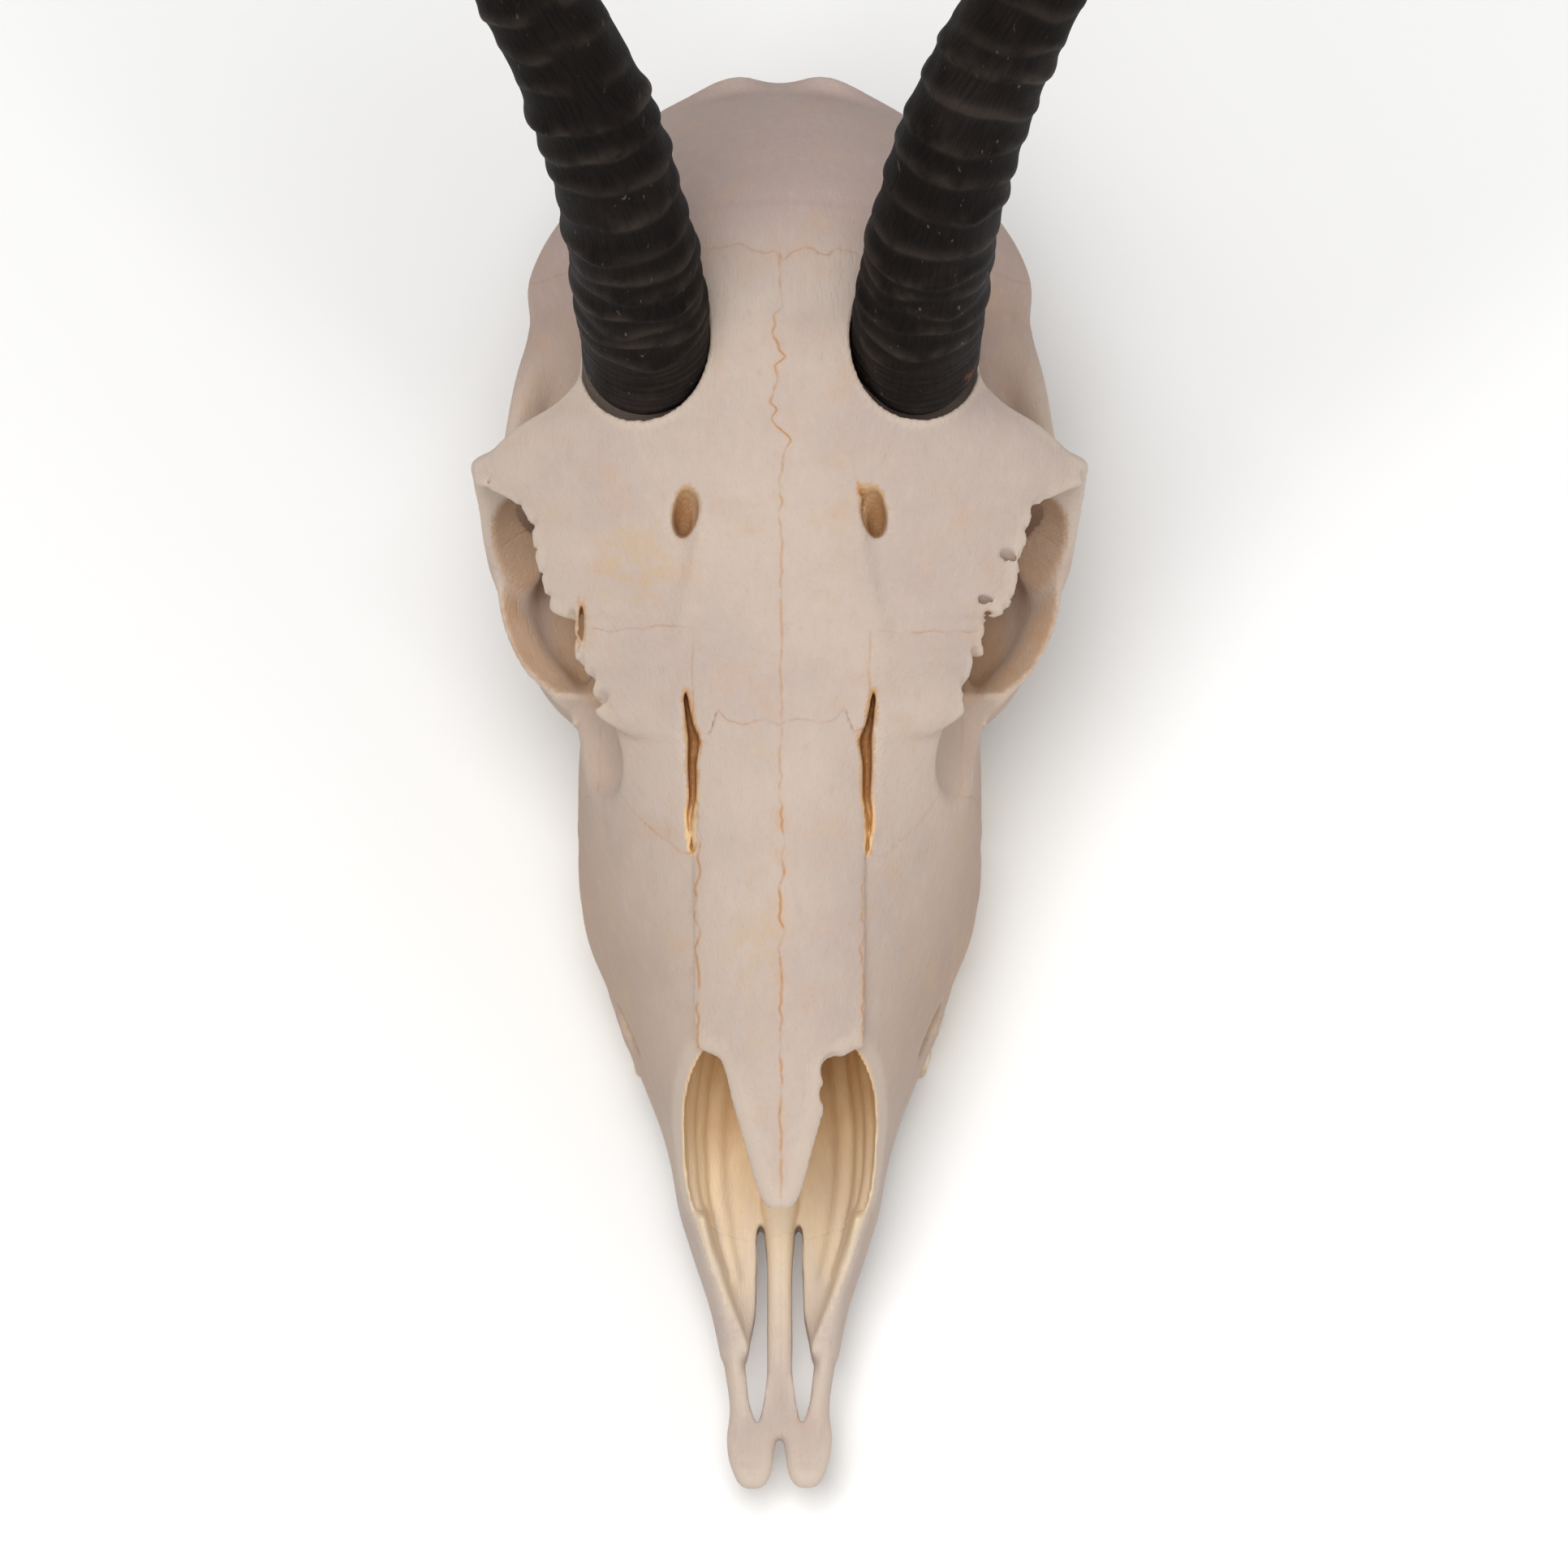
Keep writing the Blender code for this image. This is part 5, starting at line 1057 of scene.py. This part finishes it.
def dry_bone():
    """Compact bone that was boiled, degreased and left pale: matt lime and collagen, finely pored.

    It is pinkish cream where it was scraped clean, mauve-grey over the braincase, tan where grease stayed
    in the hollows, and orange-tan along the sutures, where the binding tissue dried in.
    """
    finish, tree, shader = blank("dry_bone")
    place = add(tree, "TexCoord", "Object", {})
    along = add(tree, "Mapping", "Vector",
                {"Vector": place, "Rotation": (-FACE_TILT, 0, 0), "Scale": (1, 0.3, 1)})
    lengthwise, upward = (add(tree, "SeparateXYZ", axis, {"Vector": place}) for axis in "YZ")
    seam, crowd, shade, stain = (add(tree, "Attribute", "Fac", {}, attribute_name=name)
                                 for name in ("seam", "crowd", "shade", "stain"))
    seam = add(tree, "Math", "Value", {0: seam}, operation="ABSOLUTE")
    # Each grain by the millimetres between its patches, its detail and its bite
    clouds, patches, flecks, pores, ragged, mottle, streaks, breaks = (
        add(tree, "TexNoise", "Fac",
            {"Vector": where, "Scale": per_mm(size), "Detail": detail, "Roughness": bite})
        for where, size, detail, bite in (
            (place, 34, 3, 0.55), (place, 8, 4, 0.6), (along, 1.5, 5, 0.65), (along, 0.55, 2, 0.5),
            (place, 3, 4, 0.6), (place, 5, 4, 0.6), (along, 4, 3, 0.6), (place, 5, 3, 0.6)))
    # Clouds of cream and mauve-grey, a few centimetres across, from how unevenly the grease came out
    tone = coat(tree, colour("#c6b4a6"), "#bcaaa0", (clouds, 0.36, 0.64, 0, 1))
    tone = coat(tree, tone, "#b9a49c", (lengthwise, from_nose(183), from_nose(200), 0, 1))
    # Painted shade: low on the sides of the face, from the muzzle back, the bone is painted browner and
    # darker where the light falls off
    tone = coat(tree, tone, "#af9078", (upward, 66 * MM, 26 * MM, 0, 0.6),
                (lengthwise, from_nose(46), from_nose(84), 0, 1))
    # Warm patches under a centimetre, and flecks the size of the vessel channels
    tone = coat(tree, tone, "#c6a587", (patches, 0.5, 0.74, 0, 0.4))
    tone = coat(tree, tone, "#a98d79", (flecks, 0.54, 0.76, 0, 0.2))
    tone = coat(tree, tone, "#d6c7bb", (flecks, 0.5, 0.3, 0, 0.12))
    # Thin edges are paler, and creases are darker tan, partly from grease kept in the recesses and partly as
    # painted shade
    tone = coat(tree, tone, "#d4c2b0", (crowd, 0.42, 0.26, 0, 0.5))
    tone = coat(tree, tone, "#a9855f", (crowd, 0.58, 0.8, 0, 0.6))
    # Yellow grease stains on the brow, on one nasal bone and beside the other fissure
    for centre, reach, strength in (((-25, 140, 86), 12, 0.27), ((-3.6, 82, 60), 9, 0.24),
                                    ((27, 132, 60), 12, 0.21)):
        tone = coat(tree, tone, "#c99f55", round_spot(tree, place, centre, reach),
                    (ragged, 0.36, 0.62, 0, strength))
    # Walls of the hollows: tan in the orbits, golden brown in the narrow gaps, and in the nose cream that
    # turns golden towards the rear
    wall = add(tree, "ValToRGB", "Color", {"Fac": shade})
    ramp = wall.node.color_ramp
    for k, (at, code) in enumerate(((0, "#bfa287"), (0.5, "#c0a083"), (0.8, "#c9a277"), (1, "#b07a40"))):
        stop = ramp.elements[k] if k < 2 else ramp.elements.new(at)
        stop.position = at
        stop.color = colour(code)
    wall = coat(tree, wall, "#b98d63", (mottle, 0.42, 0.66, 0, 0.45))
    lining = coat(tree, colour("#e0cdb4"), "#e3b77c", (lengthwise, from_nose(36), from_nose(78), 0, 1))
    lining = coat(tree, lining, "#efd6ab", (streaks, 0.4, 0.62, 0, 0.5))
    wall = coat(tree, wall, lining, (lengthwise, from_nose(108), from_nose(102), 0, 1))
    tone = coat(tree, tone, wall, (shade, 0.05, 0.6, 0, 0.9),
                (lengthwise, from_nose(17), from_nose(46), 0, 1))
    # Dried tissue in the sutures, broken along their length; drawn half a millimetre wide
    for code, edge, core, strength in (("#b98554", 0.4, 0.06, 1), ("#cf9d66", 1.8, 0.1, 0.16)):
        tone = coat(tree, tone, code, (seam, edge, core, 0, strength), stain, (breaks, 0.38, 0.58, 0.1, 0.9))
    tree.links.new(tone, shader.inputs["Base Color"])
    # Open pores and shallow channels along the bone, drawn at half a millimetre because real ones are finer
    relief = add(tree, "Math", "Value", {0: flecks, 1: 1.6, 2: mask(tree, (pores, 0.34, 0.46, 0, 1))},
                 operation="MULTIPLY_ADD")
    bump = add(tree, "Bump", "Normal", {"Height": relief, "Strength": 0.4, "Distance": 0.0001})
    tree.links.new(bump, shader.inputs["Normal"])
    # Dry lime scatters light, so it is matt; the rubbed edges are a little smoother
    tree.links.new(mask(tree, (crowd, 0.26, 0.5, 0.56, 0.72)), shader.inputs["Roughness"])
    shader.inputs["IOR"].default_value = 1.5
    shader.inputs["Specular IOR Level"].default_value = 0.35
    return finish


def keratin():
    """Horn sheath: black-brown keratin grown in rings, matt with dust, greyer where the rings are rubbed."""
    finish, tree, shader = blank("keratin")
    place = add(tree, "TexCoord", "Object", {})
    crest, along, round_x, round_y = (add(tree, "Attribute", "Fac", {}, attribute_name=name)
                                      for name in ("crest", "along", "round_x", "round_y"))
    # Fibres run up the sheath, about half a millimetre apart and ten times as long
    upward = add(tree, "Math", "Value", {0: along, 1: 0.1}, operation="MULTIPLY")
    unrolled = add(tree, "CombineXYZ", "Vector", {"X": round_x, "Y": round_y, "Z": upward})
    fibres = add(tree, "TexNoise", "Fac", {"Vector": unrolled, "Scale": 2.2, "Detail": 3, "Roughness": 0.6})
    # Short pale scratches run across the rings
    slanted = add(tree, "Mapping", "Vector",
                  {"Vector": place, "Rotation": (0.3, 0.2, 0.5), "Scale": (1, 0.14, 0.5)})
    worn, dust, scratches, chipped, grit = (
        add(tree, "TexNoise", "Fac",
            {"Vector": where, "Scale": per_mm(size), "Detail": detail, "Roughness": bite})
        for where, size, detail, bite in (
            (place, 9, 4, 0.6), (place, 16, 3, 0.6), (slanted, 0.9, 2, 0.5), (place, 1.6, 2, 0.5),
            (place, 0.8, 3, 0.6)))
    rubbed = mask(tree, crest, (worn, 0.36, 0.62, 0, 1))
    tone = coat(tree, colour("#080504"), "#150d09", (fibres, 0.36, 0.66, 0, 1))
    tone = coat(tree, tone, "#2b2320", (dust, 0.5, 0.72, 0, 0.5), (fibres, 0.3, 0.7, 0.4, 1))
    tone = coat(tree, tone, "#443a33", crest, (worn, 0.36, 0.62, 0, 0.5))
    tone = coat(tree, tone, "#6b5f57", (scratches, 0.7, 0.76, 0, 0.5))
    # A chip at one edge, down to the redder keratin beneath
    tone = coat(tree, tone, "#6e3f2a", round_spot(tree, place, (33, 168, 100), 3.4),
                (chipped, 0.4, 0.6, 0, 1))
    tree.links.new(tone, shader.inputs["Base Color"])
    relief = add(tree, "Math", "Value", {0: fibres, 1: grit}, operation="ADD")
    bump = add(tree, "Bump", "Normal", {"Height": relief, "Strength": 0.55, "Distance": 0.00025})
    tree.links.new(bump, shader.inputs["Normal"])
    tree.links.new(mask(tree, (rubbed, 0, 1, 0.7, 0.55)), shader.inputs["Roughness"])
    shader.inputs["IOR"].default_value = 1.54
    shader.inputs["Specular IOR Level"].default_value = 0.12
    return finish


def enamel():
    """Tooth enamel over dentine: glossy ivory on the sides, brown dentine lakes in the worn face."""
    finish, tree, shader = blank("enamel")
    place = add(tree, "TexCoord", "Object", {})
    stain, height = (add(tree, "Attribute", "Fac", {}, attribute_name=name) for name in ("stain", "height"))
    upright = add(tree, "Mapping", "Vector", {"Vector": place, "Scale": (1, 1, 0.2)})
    bands, tartar = (
        add(tree, "TexNoise", "Fac",
            {"Vector": upright, "Scale": per_mm(size), "Detail": detail, "Roughness": 0.6})
        for size, detail in ((1.8, 3), (2.6, 4)))
    tone = coat(tree, colour("#d9c7a6"), "#b99566", (bands, 0.4, 0.66, 0, 1))
    # Tartar and plant stain gather near the gum
    tone = coat(tree, tone, "#7c5a38", (height, 0.55, 1, 0, 1), (tartar, 0.3, 0.6, 0, 1))
    tone = coat(tree, tone, "#5a3f27", stain)
    tree.links.new(tone, shader.inputs["Base Color"])
    tree.links.new(mask(tree, (stain, 0, 0.6, 0.3, 0.6)), shader.inputs["Roughness"])
    shader.inputs["IOR"].default_value = 1.62
    return finish


bone_finish, horn_finish, tooth_finish = dry_bone(), keratin(), enamel()
for pieces, finish in ((bones, bone_finish), (horns, horn_finish), (teeth, tooth_finish)):
    for piece in pieces:
        piece.data.materials.append(finish)


def pale_floor():
    """A broad pale sheet under the skull."""
    mesh = bpy.data.meshes.new("floor")
    mesh.from_pydata([(-3, -3, 0), (3, -3, 0), (3, 3, 0), (-3, 3, 0)], [], [(0, 1, 2, 3)])
    finish, _, shader = blank("floor_paper")
    shader.inputs["Base Color"].default_value = colour("#fcfcfb")
    shader.inputs["Roughness"].default_value = 0.9
    mesh.materials.append(finish)
    placed("floor", mesh)


def soft_light(name, place, target, size, watts):
    """A large soft lamp that faces the skull."""
    lamp = bpy.data.lights.new(name, "AREA")
    lamp.size = size
    lamp.energy = watts
    holder = placed(name, lamp)
    holder.location = place
    holder.rotation_euler = (Vector(target) - Vector(place)).to_track_quat("-Z", "Y").to_euler()


def studio():
    """The camera over the nose, and soft light from above."""
    pale_floor()
    middle = (0.0, -0.06, 0.05)
    soft_light("overhead", (-0.25, -0.4, 2.2), middle, 1.5, 42.0)
    soft_light("fill", (1.2, -0.9, 0.9), middle, 1.2, 5.0)
    world = bpy.data.worlds.new("room")
    world.use_nodes = True
    world.node_tree.nodes["Background"].inputs["Color"].default_value = colour("#ffffff")
    world.node_tree.nodes["Background"].inputs["Strength"].default_value = 0.27
    bpy.context.scene.world = world
    bpy.context.scene.view_settings.view_transform = "Standard"
    lens = bpy.data.cameras.new("camera")
    lens.sensor_width = 36.0
    lens.lens = 298.0
    camera = placed("camera", lens)
    target = Vector((0.0005, 0.1067 + NOSE_Y, 0.0686 - TABLE_Z * MM))
    looking = Vector((0.0, math.cos(math.radians(70.0)), -math.sin(math.radians(70.0))))
    camera.location = target - looking * 2.2
    camera.rotation_euler = looking.to_track_quat("-Z", "Y").to_euler()
    bpy.context.scene.camera = camera


studio()
